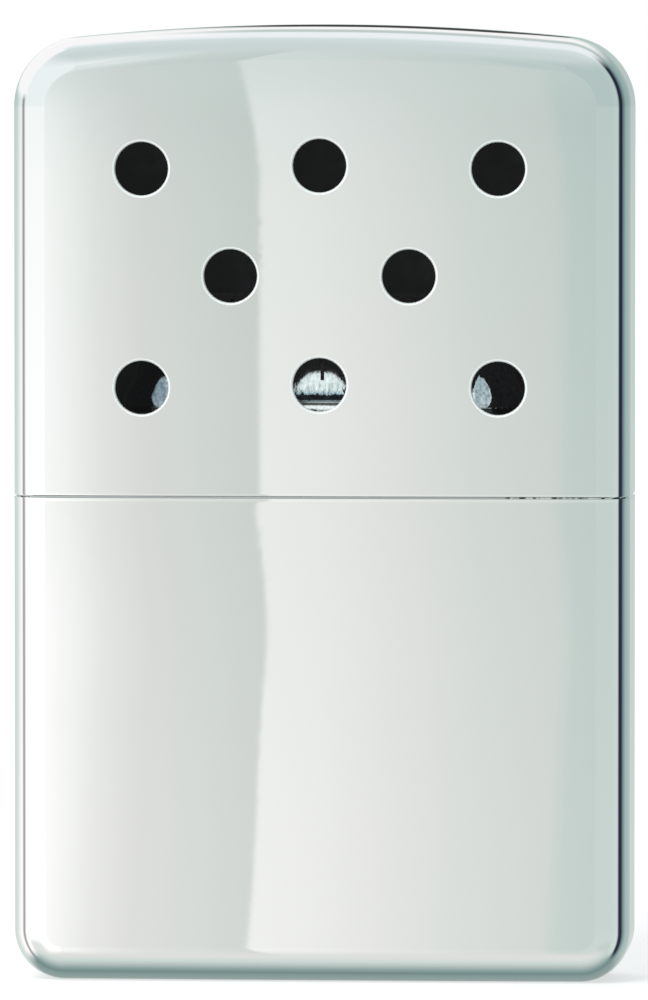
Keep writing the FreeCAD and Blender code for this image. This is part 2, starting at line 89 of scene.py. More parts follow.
# %% Camera
PICTURE_TALL = 1000  # pixels
SENSOR = 36.0  # millimetres, along the picture's longer side
PIXELS_PER_MM = 12.08
CAMERA_AWAY = 900.0
CAMERA_TURN = math.radians(4.4)
CAMERA_RISE = math.radians(2.5)
AIM = (-0.11, 0.0, 39.57)


def new_object(name, data):
    """An object in the scene from its data."""
    made = bpy.data.objects.new(name, data)
    bpy.context.scene.collection.objects.link(made)
    return made


def stand_off(thing, aim, away, turn, rise):
    """Put a camera or a lamp away from its aim, to the right of the front and raised, and face
    it back to the aim."""
    toward = (math.sin(turn) * math.cos(rise), -math.cos(turn) * math.cos(rise), math.sin(rise))
    thing.location = (np.array(aim) + away * np.array(toward)) * MM
    thing.rotation_euler = (math.pi / 2 - rise, 0, turn)


camera_data = bpy.data.cameras.new("camera")
camera_data.lens = SENSOR * CAMERA_AWAY * PIXELS_PER_MM / PICTURE_TALL
camera = new_object("camera", camera_data)
stand_off(camera, AIM, CAMERA_AWAY, CAMERA_TURN, CAMERA_RISE)
bpy.context.scene.camera = camera
bpy.context.scene.view_settings.view_transform = "Standard"
print(f"lens {camera_data.lens:.0f} mm")

# %% [markdown]
# ## Small tools for materials
# A finish is a small graph of nodes. These helpers add a node with its settings in one line,
# and read as sentences where the finishes are made further down.

# %% Node helpers
def empty_tree(owner):
    """The node tree of a material or a world, with nothing in it yet."""
    owner.use_nodes = True
    owner.node_tree.nodes.clear()
    return owner.node_tree


def set_inputs(node, inputs):
    """Fill a node's sockets, by name or number, each with a value, a colour or a link."""
    for name, value in inputs.items():
        socket = node.inputs[name]
        if isinstance(value, bpy.types.NodeSocket):
            node.id_data.links.new(value, socket)
        else:
            socket.default_value = (*value, 1.0) if socket.type == "RGBA" else value


def add_node(tree, kind, inputs=None, **settings):
    """A new shader node with its settings made and its sockets filled."""
    node = tree.nodes.new("ShaderNode" + kind)
    for name, value in settings.items():
        setattr(node, name, value)
    set_inputs(node, inputs or {})
    return node


def calculate(tree, operation, *values):
    """The result of one Math node."""
    return add_node(tree, "Math", dict(enumerate(values)), operation=operation).outputs[0]


def ramp(tree, value, stops):
    """A colour ramp from a list of (position, colour)."""
    node = add_node(tree, "ValToRGB", {0: value})
    elements = node.color_ramp.elements
    for position, _ in stops[2:]:
        elements.new(position)
    for element, (position, colour) in zip(elements, sorted(stops)):
        element.position = position
        element.color = (*colour, 1.0)
    return node.outputs[0]


def blend_colours(tree, factor, first, second, blend="MIX"):
    """Two colours mixed by a factor."""
    inputs = {0: factor, 6: first, 7: second}  # 6 and 7 are the node's colour sockets
    return add_node(tree, "Mix", inputs, data_type="RGBA", blend_type=blend).outputs[2]


# %% [markdown]
# ## The studio
# Polished metal has almost no colour of its own: what it shows is the room. So the room is the
# most important finish of all. It could be built from lit cards, but a world shader that only
# the metal sees does the same with exact angles and no noise. The pale backdrop stays plain
# white for the camera. One ramp goes round the horizon: a large white panel on the left, a soft
# grey wall in front, a black flag at the right. A second ramp goes over the top from front to
# back, with a strip of light overhead. Soft-edged cards finish it: a haze high on the front
# wall, a grey table low at both sides, a white canopy at the upper left, and a small black card
# high behind, which draws the dark line along the top.

# %% Studio walls
def grey(level, tint=(1.0, 1.0, 1.0)):
    """A wall of an even brightness, with a slight tint."""
    return tuple(level * part for part in tint)


def walls_at(*rows):
    """The stops of a ramp from rows of a place, the brightness there and perhaps a tint."""
    return [(row[0], grey(*row[1:])) for row in rows]


PALE = (0.98, 1.0, 0.975)
SAGE = (0.94, 1.0, 0.96)
COOL = (0.87, 1.0, 0.96)
NAVY = (0.55, 0.62, 1.30)
TEAL = (0.70, 1.0, 0.98)
HAZE = (0.88, 1.0, 1.0)
ICE = (0.955, 1.0, 1.03)

HORIZON = walls_at(  # degrees to the right of straight ahead
    (-180, 0.68, COOL), (-160, 0.70, COOL), (-128, 0.78, COOL), (-113, 0.92, PALE), (-99, 1.10),
    (-93, 0.62), (-90.5, 0.34), (-87.5, 0.34), (-83, 0.75),  # a gap between two panels
    (-79, 1.12), (-10, 1.12),  # the white panel
    (2, 0.70, COOL), (55, 0.70, COOL), (78, 0.74, COOL),  # the grey wall
    (85, 0.045, NAVY), (96, 0.045, NAVY),  # the black flag
    (100, 0.20, TEAL), (116, 0.50, TEAL), (140, 0.54, COOL), (158, 0.62, COOL),
    (169, 0.78, COOL), (173, 0.62, COOL), (180, 0.68, COOL),
)
AHEAD = (-11.0, 2.0)  # degrees: the stretch that the broad faces show, worked out finely
WALL_AHEAD = walls_at(
    (-11.0, 1.12), (-9.6, 1.08), (-9.1, 1.00, PALE), (-8.5, 0.87, PALE), (-7.7, 0.78, PALE),
    (-6.6, 0.755, SAGE), (-5.57, 0.715, SAGE), (-5.47, 0.93, PALE),  # the sharp edge
    (-4.4, 0.90, PALE), (-3.0, 0.83, PALE), (-1.6, 0.775, SAGE), (-0.15, 0.73, SAGE),
    (0.15, 0.69, COOL), (0.8, 0.67, COOL), (2.0, 0.70, COOL),
)
UPWARD = (-6.0, 1.0)  # degrees of height: the wall grows duller and cooler upwards
WALL_FADE = [
    (-6.0, (1.08, 1.07, 1.06)), (-4.2, (1.05, 1.04, 1.04)), (-3.0, (1.00, 1.00, 1.00)),
    (-2.0, (0.98, 0.99, 0.99)), (-1.0, (0.94, 0.96, 0.955)), (-0.45, (0.885, 0.925, 0.92)),
    (-0.2, (0.84, 0.89, 0.89)), (1.0, (0.81, 0.87, 0.875)),
]
OVER = walls_at(  # degrees up from straight ahead, over the top and down behind
    (-180, 0.60, COOL), (-150, 0.40, COOL), (-112, 0.36, TEAL), (-97, 0.28, TEAL),
    (-82, 0.40, TEAL), (-66, 0.58, COOL), (-51, 0.76, COOL), (-36, 0.82, PALE), (0, 0.80, PALE),
    (20, 0.735, COOL), (50, 0.735, HAZE), (62, 0.775, HAZE), (72, 0.80, HAZE),
    (82, 0.96, ICE), (101, 0.96, ICE),  # the strip of light
    (106, 0.65, COOL), (115, 0.65, COOL), (121, 0.98), (130, 1.04), (150, 0.92, PALE),
    (165, 0.70, COOL), (180, 0.60, COOL),
)


# %% Ramps and soft edges
def angle_ramp(tree, angle, stops, reach=(-180.0, 180.0)):
    """A ramp over a range of degrees, for an angle socket in radians. A ramp keeps only 256
    steps, so a narrow range holds sharper edges."""
    start, span = reach[0], reach[1] - reach[0]
    place = calculate(tree, "MULTIPLY_ADD", angle, 180 / math.pi / span, -start / span)
    return ramp(tree, place, [((degrees - start) / span, colour) for degrees, colour in stops])


def soft_edge(tree, value, start, end, low=0.0, high=1.0):
    """A value that turns smoothly from low to high while another goes from start to end."""
    inputs = {0: value, 1: start, 2: end, 3: low, 4: high}
    return add_node(tree, "MapRange", inputs, interpolation_type="SMOOTHSTEP").outputs[0]


def card(tree, *edges):
    """Where a card hangs, from 0 to 1: its soft edges multiplied together."""
    covered = soft_edge(tree, *edges[0])
    for edge in edges[1:]:
        covered = calculate(tree, "MULTIPLY", covered, soft_edge(tree, *edge))
    return covered


FALLS = (1.0, 0.0)  # the levels before and after an edge where a card ends

# %% Directions
world = bpy.data.worlds.new("studio")
tree = empty_tree(world)
direction = add_node(tree, "TexCoord").outputs["Generated"]
parts = add_node(tree, "SeparateXYZ", {0: direction}).outputs
right, up = parts["X"], parts["Z"]
toward_front = calculate(tree, "MULTIPLY", parts["Y"], -1.0)
around = calculate(tree, "ARCTAN2", right, toward_front)
height = calculate(tree, "ARCSINE", up)
over = calculate(tree, "ARCTAN2", up, toward_front)

# %% Strips overhead
# At the left, the strips overhead run a little askew, towards the back.
ASKEW_FROM = 0.07  # how far left this begins, as a part of the direction
ASKEW_MOST = 0.12  # and how much further it goes on
ASKEW_RATE = math.radians(110)
askew = calculate(tree, "ADD", right, ASKEW_FROM)
askew = calculate(tree, "MAXIMUM", calculate(tree, "MINIMUM", askew, 0.0), -ASKEW_MOST)
askew = calculate(tree, "MULTIPLY", askew, calculate(tree, "GREATER_THAN", up, 0.0))
strips = calculate(tree, "MULTIPLY_ADD", askew, ASKEW_RATE, over)

# Ways that rise or fall steeply see the strips, and the others the walls round the horizon.
RISING_COUNTS = 0.75
FALLING_COUNTS = -1.0
SIDEWAYS_COUNTS = -0.40
STEEP = (0.15, 0.50)
rising = calculate(tree, "MULTIPLY", up, RISING_COUNTS)
falling = calculate(tree, "MULTIPLY", up, FALLING_COUNTS)
steepness = calculate(tree, "MAXIMUM", rising, falling)
sideways = calculate(tree, "ABSOLUTE", right)
steepness = calculate(tree, "MULTIPLY_ADD", sideways, SIDEWAYS_COUNTS, steepness)
from_over = soft_edge(tree, steepness, *STEEP)

# %% Walls round the horizon
# The wall straight ahead has a haze high up.
HAZE_EDGE = np.radians([-0.5, -0.2])
HAZE_COVERS = 0.4
haze = soft_edge(tree, height, *HAZE_EDGE, 0.0, HAZE_COVERS)
ahead = blend_colours(
    tree, haze, angle_ramp(tree, around, WALL_AHEAD, AHEAD), grey(0.85, SAGE)
)

# Low down and away from straight ahead, a grey table takes over from the walls.
TABLE_BEGINS = np.radians([16, 34])
TABLE_ENDS = np.radians([56, 72])
TABLE_TOP = np.radians([-23, -12])
TABLE_COVERS = 0.62
middle, half = np.radians([sum(AHEAD) / 2, (AHEAD[1] - AHEAD[0]) / 2])
off_middle = calculate(tree, "ABSOLUTE", calculate(tree, "SUBTRACT", around, middle))
table = card(
    tree, (off_middle, *TABLE_BEGINS), (off_middle, *TABLE_ENDS, *FALLS),
    (height, *TABLE_TOP, TABLE_COVERS, 0.0),
)
elsewhere = blend_colours(tree, table, angle_ramp(tree, around, HORIZON), grey(0.62, COOL))

is_ahead = calculate(tree, "COMPARE", around, middle, half)
round_horizon = blend_colours(tree, is_ahead, elsewhere, ahead)
horizon = blend_colours(
    tree, 1.0, round_horizon, angle_ramp(tree, height, WALL_FADE, UPWARD), blend="MULTIPLY"
)
walls = blend_colours(tree, from_over, horizon, angle_ramp(tree, strips, OVER))

# %% Canopy and black card
CANOPY_SIDE = (-0.17, -0.10)
CANOPY_FRONT = np.radians([84, 90])
CANOPY_FOOT = (0.10, 0.25)
FLAP_SIDE = (-0.45, -0.30)  # the canopy's flap hangs further to the left
FLAP_BACK = np.radians([-81, -76])
FLAP_FOOT = (0.08, 0.22)
canopy = card(tree, (right, *CANOPY_SIDE, *FALLS), (strips, *CANOPY_FRONT), (up, *CANOPY_FOOT))
flap = card(tree, (right, *FLAP_SIDE, *FALLS), (around, *FLAP_BACK, *FALLS), (up, *FLAP_FOOT))
walls = blend_colours(tree, calculate(tree, "MAXIMUM", canopy, flap), walls, grey(1.03))

BLACK_LEFT = (-0.118, -0.085)
BLACK_RIGHT = (-0.015, 0.002)
BLACK_NEAR = np.radians([136, 141])
BLACK_FAR = np.radians([172, 177])
black_card = card(
    tree, (right, *BLACK_LEFT), (right, *BLACK_RIGHT, *FALLS),
    (strips, *BLACK_NEAR), (over, *BLACK_FAR, *FALLS),
)
walls = blend_colours(tree, black_card, walls, grey(0.06))

# %% Only the metal sees the studio
seen_by = add_node(tree, "LightPath").outputs
studio_light = add_node(tree, "Background", {"Color": walls})
backdrop = add_node(tree, "Background", {"Color": grey(1.0)})
chosen = add_node(tree, "MixShader", {
    0: seen_by["Is Camera Ray"], 1: studio_light.outputs[0], 2: backdrop.outputs[0],
})
add_node(tree, "OutputWorld", {0: chosen.outputs[0]})
bpy.context.scene.world = world
print("studio walls:", len(HORIZON), "stops round and", len(OVER), "over")

# %% [markdown]
# ## Floor and lamps
# The floor is a plain pale sheet. Half of its brightness is its own glow, for the camera only,
# so it reads as white while the soft shadow under the warmer still shows. The lamp is a wide
# soft sun from the upper left. The metal doesn't see the lamp or the floor, only the studio.

# %% Floor
FLOOR_REACH = 6.0  # metres
FLOOR_GREY = 0.5
FLOOR_GLOW = 0.55
floor_mesh = bpy.data.meshes.new("floor")
floor_corners = np.array([[-1, -1, 0], [1, -1, 0], [1, 1, 0], [-1, 1, 0]]) * FLOOR_REACH
floor_mesh.from_pydata(floor_corners.tolist(), [], [(0, 1, 2, 3)])
floor = new_object("floor", floor_mesh)
floor.visible_glossy = False

paper = bpy.data.materials.new("floor_paper")
tree = empty_tree(paper)
seen_by = add_node(tree, "LightPath").outputs
matt = add_node(tree, "BsdfDiffuse", {"Color": grey(FLOOR_GREY)})
glow = add_node(
    tree, "Emission", {"Color": grey(FLOOR_GLOW), "Strength": seen_by["Is Camera Ray"]}
)
both = add_node(tree, "AddShader", {0: matt.outputs[0], 1: glow.outputs[0]})
add_node(tree, "OutputMaterial", {0: both.outputs[0]})
floor_mesh.materials.append(paper)

# %% Lamp
LAMP_STRENGTH = 1.4
LAMP_SOFTNESS = math.radians(40)
LAMP_TILT = np.radians([38, -28, 0])
lamp_data = bpy.data.lights.new("soft_sun", "SUN")
lamp_data.energy = LAMP_STRENGTH
lamp_data.angle = LAMP_SOFTNESS
lamp = new_object("soft_sun", lamp_data)
lamp.rotation_euler = LAMP_TILT
lamp.visible_glossy = False
print("lamp strength", LAMP_STRENGTH)

# %% A card of light for the burner
CARD_SIDE = 0.40  # metres
CARD_AIM = (0.0, 0.0, 50.0)
CARD_AWAY = 1200.0
CARD_TURN = math.radians(-4.4)
CARD_RISE = math.radians(22)
CARD_ADDS = 0.30  # how much brighter the card makes the wall behind it
card_data = bpy.data.lights.new("vent_card", "AREA")
card_data.size = CARD_SIDE
card_data.energy = math.pi * CARD_SIDE**2 * CARD_ADDS  # watts
vent_card = new_object("vent_card", card_data)
stand_off(vent_card, CARD_AIM, CARD_AWAY, CARD_TURN, CARD_RISE)
vent_card.visible_camera = False
lit_by_card = bpy.data.collections.new("lit_by_card")
vent_card.light_linking.receiver_collection = lit_by_card
print("the card of light reaches", f"{card_data.energy:.3f} W")

# %% [markdown]
# ## Surfaces from grids
# Every metal piece here is a set of patches. A patch is a grid of points with the true normal
# of the surface at each, both worked out by formula. The pieces could be modelled by hand with
# bevels, but mirror-bright metal shows every small error of a normal, and a formula has none.
# Neighbouring patches share the points along their edges, so joining points that fall together
# closes the piece.

# %% Patches
MIRROR = np.array([1.0, -1.0, 1.0])  # from the front to the back


def patch(points, normals, finish=0):
    """A grid of points, rows by columns, as one sheet of four-sided faces. A longer array
    holds many such grids of the same size."""
    index = np.arange(points.size // 3).reshape(points.shape[:-1])
    here, beside = index[..., :-1, :-1], index[..., :-1, 1:]
    across, above = index[..., 1:, 1:], index[..., 1:, :-1]
    faces = np.stack([here, beside, across, above], axis=-1).reshape(-1, 4)
    return points.reshape(-1, 3), normals.reshape(-1, 3), faces, finish


def keep_faces(sheet, wanted):
    """The same patch with only the faces that a grid of True and False asks for."""
    points, normals, faces, finish = sheet
    return points, normals, faces[wanted.reshape(-1)], finish


def loose_faces(corners, normals, finish=0):
    """Separate four-sided faces, corners as faces by 4 by 3, each with one flat normal."""
    count = len(corners)
    faces = np.arange(4 * count).reshape(count, 4)
    return corners.reshape(-1, 3), np.repeat(normals, 4, axis=0), faces, finish


def other_side(sheet):
    """The patch mirrored from front to back."""
    points, normals, faces, finish = sheet
    return points * MIRROR, normals * MIRROR, faces, finish


# %% Points from lines
def spread(start, end, step):
    """Rows of points from one line to another, at steps from 0 to 1."""
    return start + step[:, None, None] * (end - start)


def turned_to(angle):
    """Flat directions of length one: the cosine and the sine of each angle."""
    return np.stack([np.cos(angle), np.sin(angle)], axis=-1)


def with_third(flat, third):
    """Flat pairs with a third coordinate beside them."""
    third = np.broadcast_to(third, flat.shape[:-1])
    return np.concatenate([flat, third[..., None]], axis=-1)


# %% Joining patches into a piece
WELD = 0.0004  # millimetres: points closer than this become one
WELD_SHIFT = 0.37  # of that, so that no flat face of the part runs along the cells' borders


def unit(vectors):
    """Vectors of length one."""
    return vectors / np.linalg.norm(vectors, axis=-1, keepdims=True)


def join_patches(patches):
    """One mesh as arrays: points, the faces' corners in a row, their normals, and counts.
    A face is turned over where its own winding disagrees with the normals it was given."""
    starts = np.cumsum([0] + [len(sheet[0]) for sheet in patches])
    points = np.concatenate([sheet[0] for sheet in patches])
    normals = np.concatenate([sheet[1] for sheet in patches])
    faces = np.concatenate([sheet[2] + start for sheet, start in zip(patches, starts)])
    finish = np.concatenate([np.full(len(sheet[2]), sheet[3]) for sheet in patches])

    a, b, c, d = (points[faces[:, k]] for k in range(4))
    facing = np.cross(c - a, d - b)
    inside_out = (facing * normals[faces].sum(axis=1)).sum(axis=1) < 0
    faces[inside_out] = faces[inside_out][:, ::-1]

    cells = np.floor(points / WELD + WELD_SHIFT).astype(np.int64)
    _, first, joined = np.unique(cells, axis=0, return_index=True, return_inverse=True)
    welded = joined.reshape(-1)[faces]
    kept_corner = welded != np.roll(welded, -1, axis=1)
    kept_face = kept_corner.sum(axis=1) >= 3
    kept_corner &= kept_face[:, None]
    return {
        "points": points[first] * MM,
        "corners": welded[kept_corner],
        "normals": unit(normals[faces])[kept_corner],
        "counts": kept_corner.sum(axis=1)[kept_face],
        "finish": finish[kept_face],
    }


def open_edges(corners, counts):
    """How many edges belong to one face only. A closed piece has none."""
    ends = np.cumsum(counts)
    following = np.arange(len(corners)) + 1
    following[ends - 1] = ends - counts
    pairs = np.sort(np.stack([corners, corners[following]], axis=1), axis=1)
    _, uses = np.unique(pairs, axis=0, return_counts=True)
    return int((uses != 2).sum())


# %% Making the Blender object
def make_piece(name, patches, body, finishes, replaces):
    """Build the mesh, give it its finishes and hand it to the body that it rides on."""
    made = join_patches(patches)
    mesh = bpy.data.meshes.new(name)
    mesh.vertices.add(len(made["points"]))
    mesh.vertices.foreach_set("co", made["points"].ravel())
    mesh.loops.add(len(made["corners"]))
    mesh.loops.foreach_set("vertex_index", made["corners"])
    mesh.polygons.add(len(made["counts"]))
    mesh.polygons.foreach_set("loop_start", np.cumsum(made["counts"]) - made["counts"])
    mesh.polygons.foreach_set("material_index", made["finish"])
    mesh.update(calc_edges=True)
    mesh.shade_smooth()
    mesh.normals_split_custom_set(made["normals"])
    for finish in finishes:
        mesh.materials.append(finish)
    piece = new_object(name, mesh)
    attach(piece, body)
    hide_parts(replaces)
    loose = open_edges(made["corners"], made["counts"])
    print(f"{name}: {len(made['counts'])} faces, {loose} open edges")
    return piece


# %% [markdown]
# ## Polished chrome
# The tank and the cover are drawn from sheet, polished and plated. The finish is a very smooth
# metal whose reflections are sharp but not perfect: plating keeps faint polishing lines and a
# slight unevenness that the eye reads as real metal. The lines are a noise stretched along one
# direction, which moves the roughness and lifts the surface by less than a thousandth of a
# millimetre.

# %% Parts of a finish
def object_place(tree):
    """Where a point of the surface lies in its object, in metres."""
    return add_node(tree, "TexCoord").outputs["Object"]


def new_finish(name):
    """An empty material with its Principled shader and its object coordinates."""
    made = bpy.data.materials.new(name)
    tree = empty_tree(made)
    shader = add_node(tree, "BsdfPrincipled")
    add_node(tree, "OutputMaterial", {0: shader.outputs[0]})
    return made, tree, shader, object_place(tree)


def change(finish, inputs):
    """Fill sockets of a finished material's Principled shader."""
    set_inputs(finish.node_tree.nodes["Principled BSDF"], inputs)


def stretched_noise(tree, place, scale, detail=3.0):
    """Noise whose scale differs along X, Y and Z, in features for each metre."""
    mapping = add_node(tree, "Mapping", {"Vector": place, "Scale": scale})
    inputs = {"Vector": mapping.outputs[0], "Scale": 1.0, "Detail": detail}
    return add_node(tree, "TexNoise", inputs).outputs["Fac"]


def between(tree, value, low, high, low_in=0.3, high_in=0.7):
    """A noise value brought into a range."""
    inputs = {0: value, 1: low_in, 2: high_in, 3: low, 4: high}
    return add_node(tree, "MapRange", inputs).outputs[0]


def both_noises(tree, fine, coarse):
    """Six parts of a fine noise and four of a coarse one."""
    return calculate(tree, "MULTIPLY_ADD", fine, 0.6, calculate(tree, "MULTIPLY", coarse, 0.4))


def raised(tree, height, lift, under=None):
    """A bump that lifts the surface by up to a length in metres, perhaps over another bump."""
    inputs = {"Height": height, "Distance": lift}
    if under:
        inputs["Normal"] = under
    return add_node(tree, "Bump", inputs).outputs[0]


# %% Metal finishes
SMUDGES = (70, 70, 70)
SWELL = (240, 240, 160)
FINE_GRAIN = (900, 900, 900)


def metal(name, colour, roughness, grain, grain_lift, swell_lift=0.0):
    """A metal with a grain: colour, a range of roughness, the grain's scale along X, Y and Z,
    and how far the grain and a slow swell lift the surface, in metres."""
    made, tree, shader, place = new_finish(name)
    lines = stretched_noise(tree, place, grain)
    wear = both_noises(tree, lines, stretched_noise(tree, place, SMUDGES))
    slow = None
    if swell_lift:
        slow = raised(tree, stretched_noise(tree, place, SWELL, detail=1.0), swell_lift)
    set_inputs(shader, {
        "Base Color": colour, "Metallic": 1.0, "Roughness": between(tree, wear, *roughness),
        "Normal": raised(tree, lines, grain_lift, slow),
    })
    return made


def painted_glow(finish, level):
    """A painted glow: a trace of light of its own, so that the deepest dark isn't quite black.
    """
    change(finish, {"Emission Color": grey(1.0), "Emission Strength": level})


chrome = metal(
    "polished_chrome", grey(0.90), (0.008, 0.024), (40, 40, 6000), 3e-9, swell_lift=3e-7
)
# The inside of the case is painted near black: painted shade, where little light gets in.
case_inside_painted_shade = metal("case_inside_painted_shade", (0.06, 0.06, 0.065), (0.45, 0.65), FINE_GRAIN, 2e-6)
satin_rim_painted_glow = metal("satin_rim_painted_glow", grey(1.0), (0.40, 0.50), FINE_GRAIN, 1e-7)
change(satin_rim_painted_glow, {"Metallic": 0.5})
# Painted glow: the finishes below give off a little light of their own.
painted_glow(case_inside_painted_shade, 0.007)
# The ring round each hole glows: a painted highlight on top of what its lip reflects.
painted_glow(satin_rim_painted_glow, 0.08)

# %% [markdown]
# ## The case
# Tank and cover are halves of one flat pillow: two broad faces that bow out a little, rounded
# into straight sides. The rounding is what a ball leaves as it rolls round inside the edge, so
# the ball's path is worked out first. Each broad face then gets a rectangle of tiles in its
# middle, and a ring from the rectangle out to the rounding.

# %% The broad face
BOW_RADIUS = (HALF_WIDTH**2 + FACE_BOW**2) / (2 * FACE_BOW)
BOW_AXIS = BOW_RADIUS - HALF_DEPTH


def on_face(across, up, depth=0.0):
    """The front face, part of a large upright cylinder: the normal leans by across / radius,
    and the point is the axis plus the normal times the radius, less the depth under it."""
    lean = across / BOW_RADIUS
    level = np.zeros_like(lean)
    normal = np.stack([lean, -np.sqrt(1 - lean**2), level], axis=-1)
    point = normal * (BOW_RADIUS - depth) + np.stack([level, level + BOW_AXIS, up], axis=-1)
    return point, normal


def on_half(flat, side, depth=0.0):
    """The front face of the cover or of the tank, from pairs of x and height over the seam."""
    return on_face(flat[..., 0], SEAM + side * flat[..., 1], depth)


# %% The rounded edge
EDGE_STEPS = 18


def edge_band(core, outward, side, depth=0.0):
    """The rounding from the front face round to the back one. core is the path of the rolling
    ball as x and height over the seam, outward its direction away from the middle. The normal
    turns evenly from the face's to the side's, and the point is the ball's centre plus the
    normal times its radius, less the depth under it."""
    across, height = core[:, 0], core[:, 1]
    reach = BOW_RADIUS - EDGE
    drop = np.sqrt(reach**2 - across**2)
    level = np.zeros_like(across)
    centre = np.stack([across, BOW_AXIS - drop, SEAM + side * height], axis=-1)[:, None]
    to_face = np.stack([across, -drop, level], axis=-1)[:, None] / reach
    to_side = np.stack([outward[:, 0], level, side * outward[:, 1]], axis=-1)[:, None]
    turn = np.arccos((to_face * to_side).sum(axis=-1, keepdims=True))
    step = np.linspace(0, 1, EDGE_STEPS + 1)[None, :, None]
    normal = (np.sin((1 - step) * turn) * to_face + np.sin(step * turn) * to_side) / np.sin(turn)
    point = centre + (EDGE - depth) * normal
    return [np.concatenate([half, half[:, ::-1] * MIRROR], axis=1) for half in (point, normal)]


# %% Lines that the tiles share
VENT_PITCH = 14.7
VENT_ROW_PITCH = 9.0
TILE_WIDE = VENT_PITCH / 2
TILE_TALL = VENT_ROW_PITCH
TILE_STEPS = 12
TILE_COLUMNS = 5
TILE_ROWS = 3
BLOCK_LOW = 4.6  # height over the seam where the rectangle of tiles begins
BLOCK_HIGH = BLOCK_LOW + TILE_ROWS * TILE_TALL
BLOCK_REACH = TILE_COLUMNS / 2 * TILE_WIDE
BESIDE_STEPS = 5  # from the rectangle on to the rounding, along the seam
NEARLY = 1e-6  # less than this counts as nothing
CONTACT = BOW_RADIUS / (BOW_RADIUS - EDGE)  # from the ball's path to where it touches the face

columns = np.linspace(-BLOCK_REACH, BLOCK_REACH, TILE_COLUMNS * TILE_STEPS + 1)
levels = np.linspace(BLOCK_LOW, BLOCK_HIGH, TILE_ROWS * TILE_STEPS + 1)
face_reach = (HALF_WIDTH - EDGE) * CONTACT
beyond = np.linspace(BLOCK_REACH, face_reach, BESIDE_STEPS + 1)[1:]
seam_line = np.concatenate([-beyond[::-1], columns, beyond])
print(f"tiles {TILE_WIDE:.2f} x {TILE_TALL:.2f} mm, face {2 * face_reach:.1f} mm across")


# %% The path of the rolling ball
LOW_STEPS = 6  # up the side to the rectangle of tiles
HIGH_STEPS = 3  # from there to the corner
CORNER_STEPS = 24
END_STEPS = 4  # from the corner to the columns of tiles


def rolling_path(height, corner, arch):
    """From the seam at the right, up the side, round the corner and over the end to the left.
    The corner is an arc of the corner radius less the ball's. The end is flat, or part of a
    circle of the arch radius, also less the ball's."""
    inner_corner = corner - EDGE
    corner_across = HALF_WIDTH - corner
    if arch:
        corner_level = height - arch + math.sqrt((arch - corner) ** 2 - corner_across**2)
        last_turn = math.acos(corner_across / (arch - corner))
    else:
        corner_level = height - corner
        last_turn = math.pi / 2
    low = np.linspace(RIM_BAND, BLOCK_LOW, LOW_STEPS + 1)[:-1]
    high = np.linspace(BLOCK_HIGH, corner_level, HIGH_STEPS + 1)[1:]
    side_levels = np.concatenate([low, levels, high])
    across = np.full_like(side_levels, HALF_WIDTH - EDGE)
    side = np.stack([across, side_levels, np.ones_like(across), 0 * across], axis=-1)

    turn = np.linspace(0, last_turn, CORNER_STEPS + 1)[1:]
    cos, sin = np.cos(turn), np.sin(turn)
    round_corner = np.stack([
        corner_across + inner_corner * cos, corner_level + inner_corner * sin, cos, sin
    ], axis=-1)

    end = round_corner[-1, 0]
    middle = columns[columns > -NEARLY][::-1] / CONTACT
    across = np.concatenate([np.linspace(end, middle[0], END_STEPS + 1)[1:-1], middle])
    if arch:
        lean = across / (arch - EDGE)
        rise = np.sqrt(1 - lean**2)
        over_top = np.stack([across, height - arch + (arch - EDGE) * rise, lean, rise], axis=-1)
    else:
        level = np.full_like(across, height - EDGE)
        over_top = np.stack([across, level, 0 * across, np.ones_like(across)], axis=-1)

    right = np.concatenate([side, round_corner, over_top])
    left = right[-2::-1] * np.array([-1, 1, -1, 1])
    path = np.concatenate([right, left])
    return path[:, :2], path[:, 2:]


# %% Ring and rectangle of a broad face
RING_STEPS = 5


def face_ring(core, side, depth=0.0, rim=RIM_BAND):
    """From the rectangle of tiles out to the rounding. Each point of the outer line has its
    partner where it is nearest to the rectangle, and the ring runs straight between them."""
    over = core * np.array([CONTACT, 1.0])
    along_seam = np.stack([seam_line, np.full_like(seam_line, RIM_BAND)], axis=-1)
    outer = np.concatenate([over, along_seam[1:]])
    inner = np.clip(outer, [-BLOCK_REACH, BLOCK_LOW], [BLOCK_REACH, BLOCK_HIGH])
    outer[outer[:, 1] < RIM_BAND + NEARLY, 1] = rim
    return on_half(spread(inner, outer, np.linspace(0, 1, RING_STEPS + 1)), side, depth)


def plain_tiles(side, depth=0.0, columns=columns, levels=levels):
    """The rectangle of tiles without holes, or a part of it."""
    return on_half(np.stack(np.meshgrid(columns, levels), axis=-1), side, depth)


# %% [markdown]
# A vent hole sits in a tile of its own. The grid of such a tile runs round the hole in one
# direction and from the tile's square border in to the hole in the other. At the hole it rolls
# over a small rounded lip and goes straight down through the sheet. The lip catches the light as
# the bright ring round every hole, and its finish adds a painted glow, a painted highlight.

# %% Vent holes
VENT_RADIUS = 2.2
VENT_LIP = 0.2
VENT_FIRST_ROW = 9.05
VENT_ROW_BOW = 0.26
VENT_ROWS = [3, 2, 3]
VENT_STEPS = 6  # from the tile's border to the hole
VENT_CROWDING = 0.8  # under 1, so the steps grow shorter towards the hole
LIP_STEPS = 8
ROUND_HOLE = np.linspace(0, 2 * np.pi, 4 * TILE_STEPS + 1) - 0.75 * np.pi  # from the lower left


def tile_border(left, low):
    """The border of a tile, from its lower left corner round and back to it."""
    step = np.arange(TILE_STEPS) / TILE_STEPS
    bottom = np.stack([step, 0 * step], axis=-1)
    right = np.stack([0 * step + 1, step], axis=-1)
    round_trip = np.concatenate([bottom, right, 1 - bottom, 1 - right, [[0.0, 0.0]]])
    return np.array([left, low]) + round_trip * [TILE_WIDE, TILE_TALL]


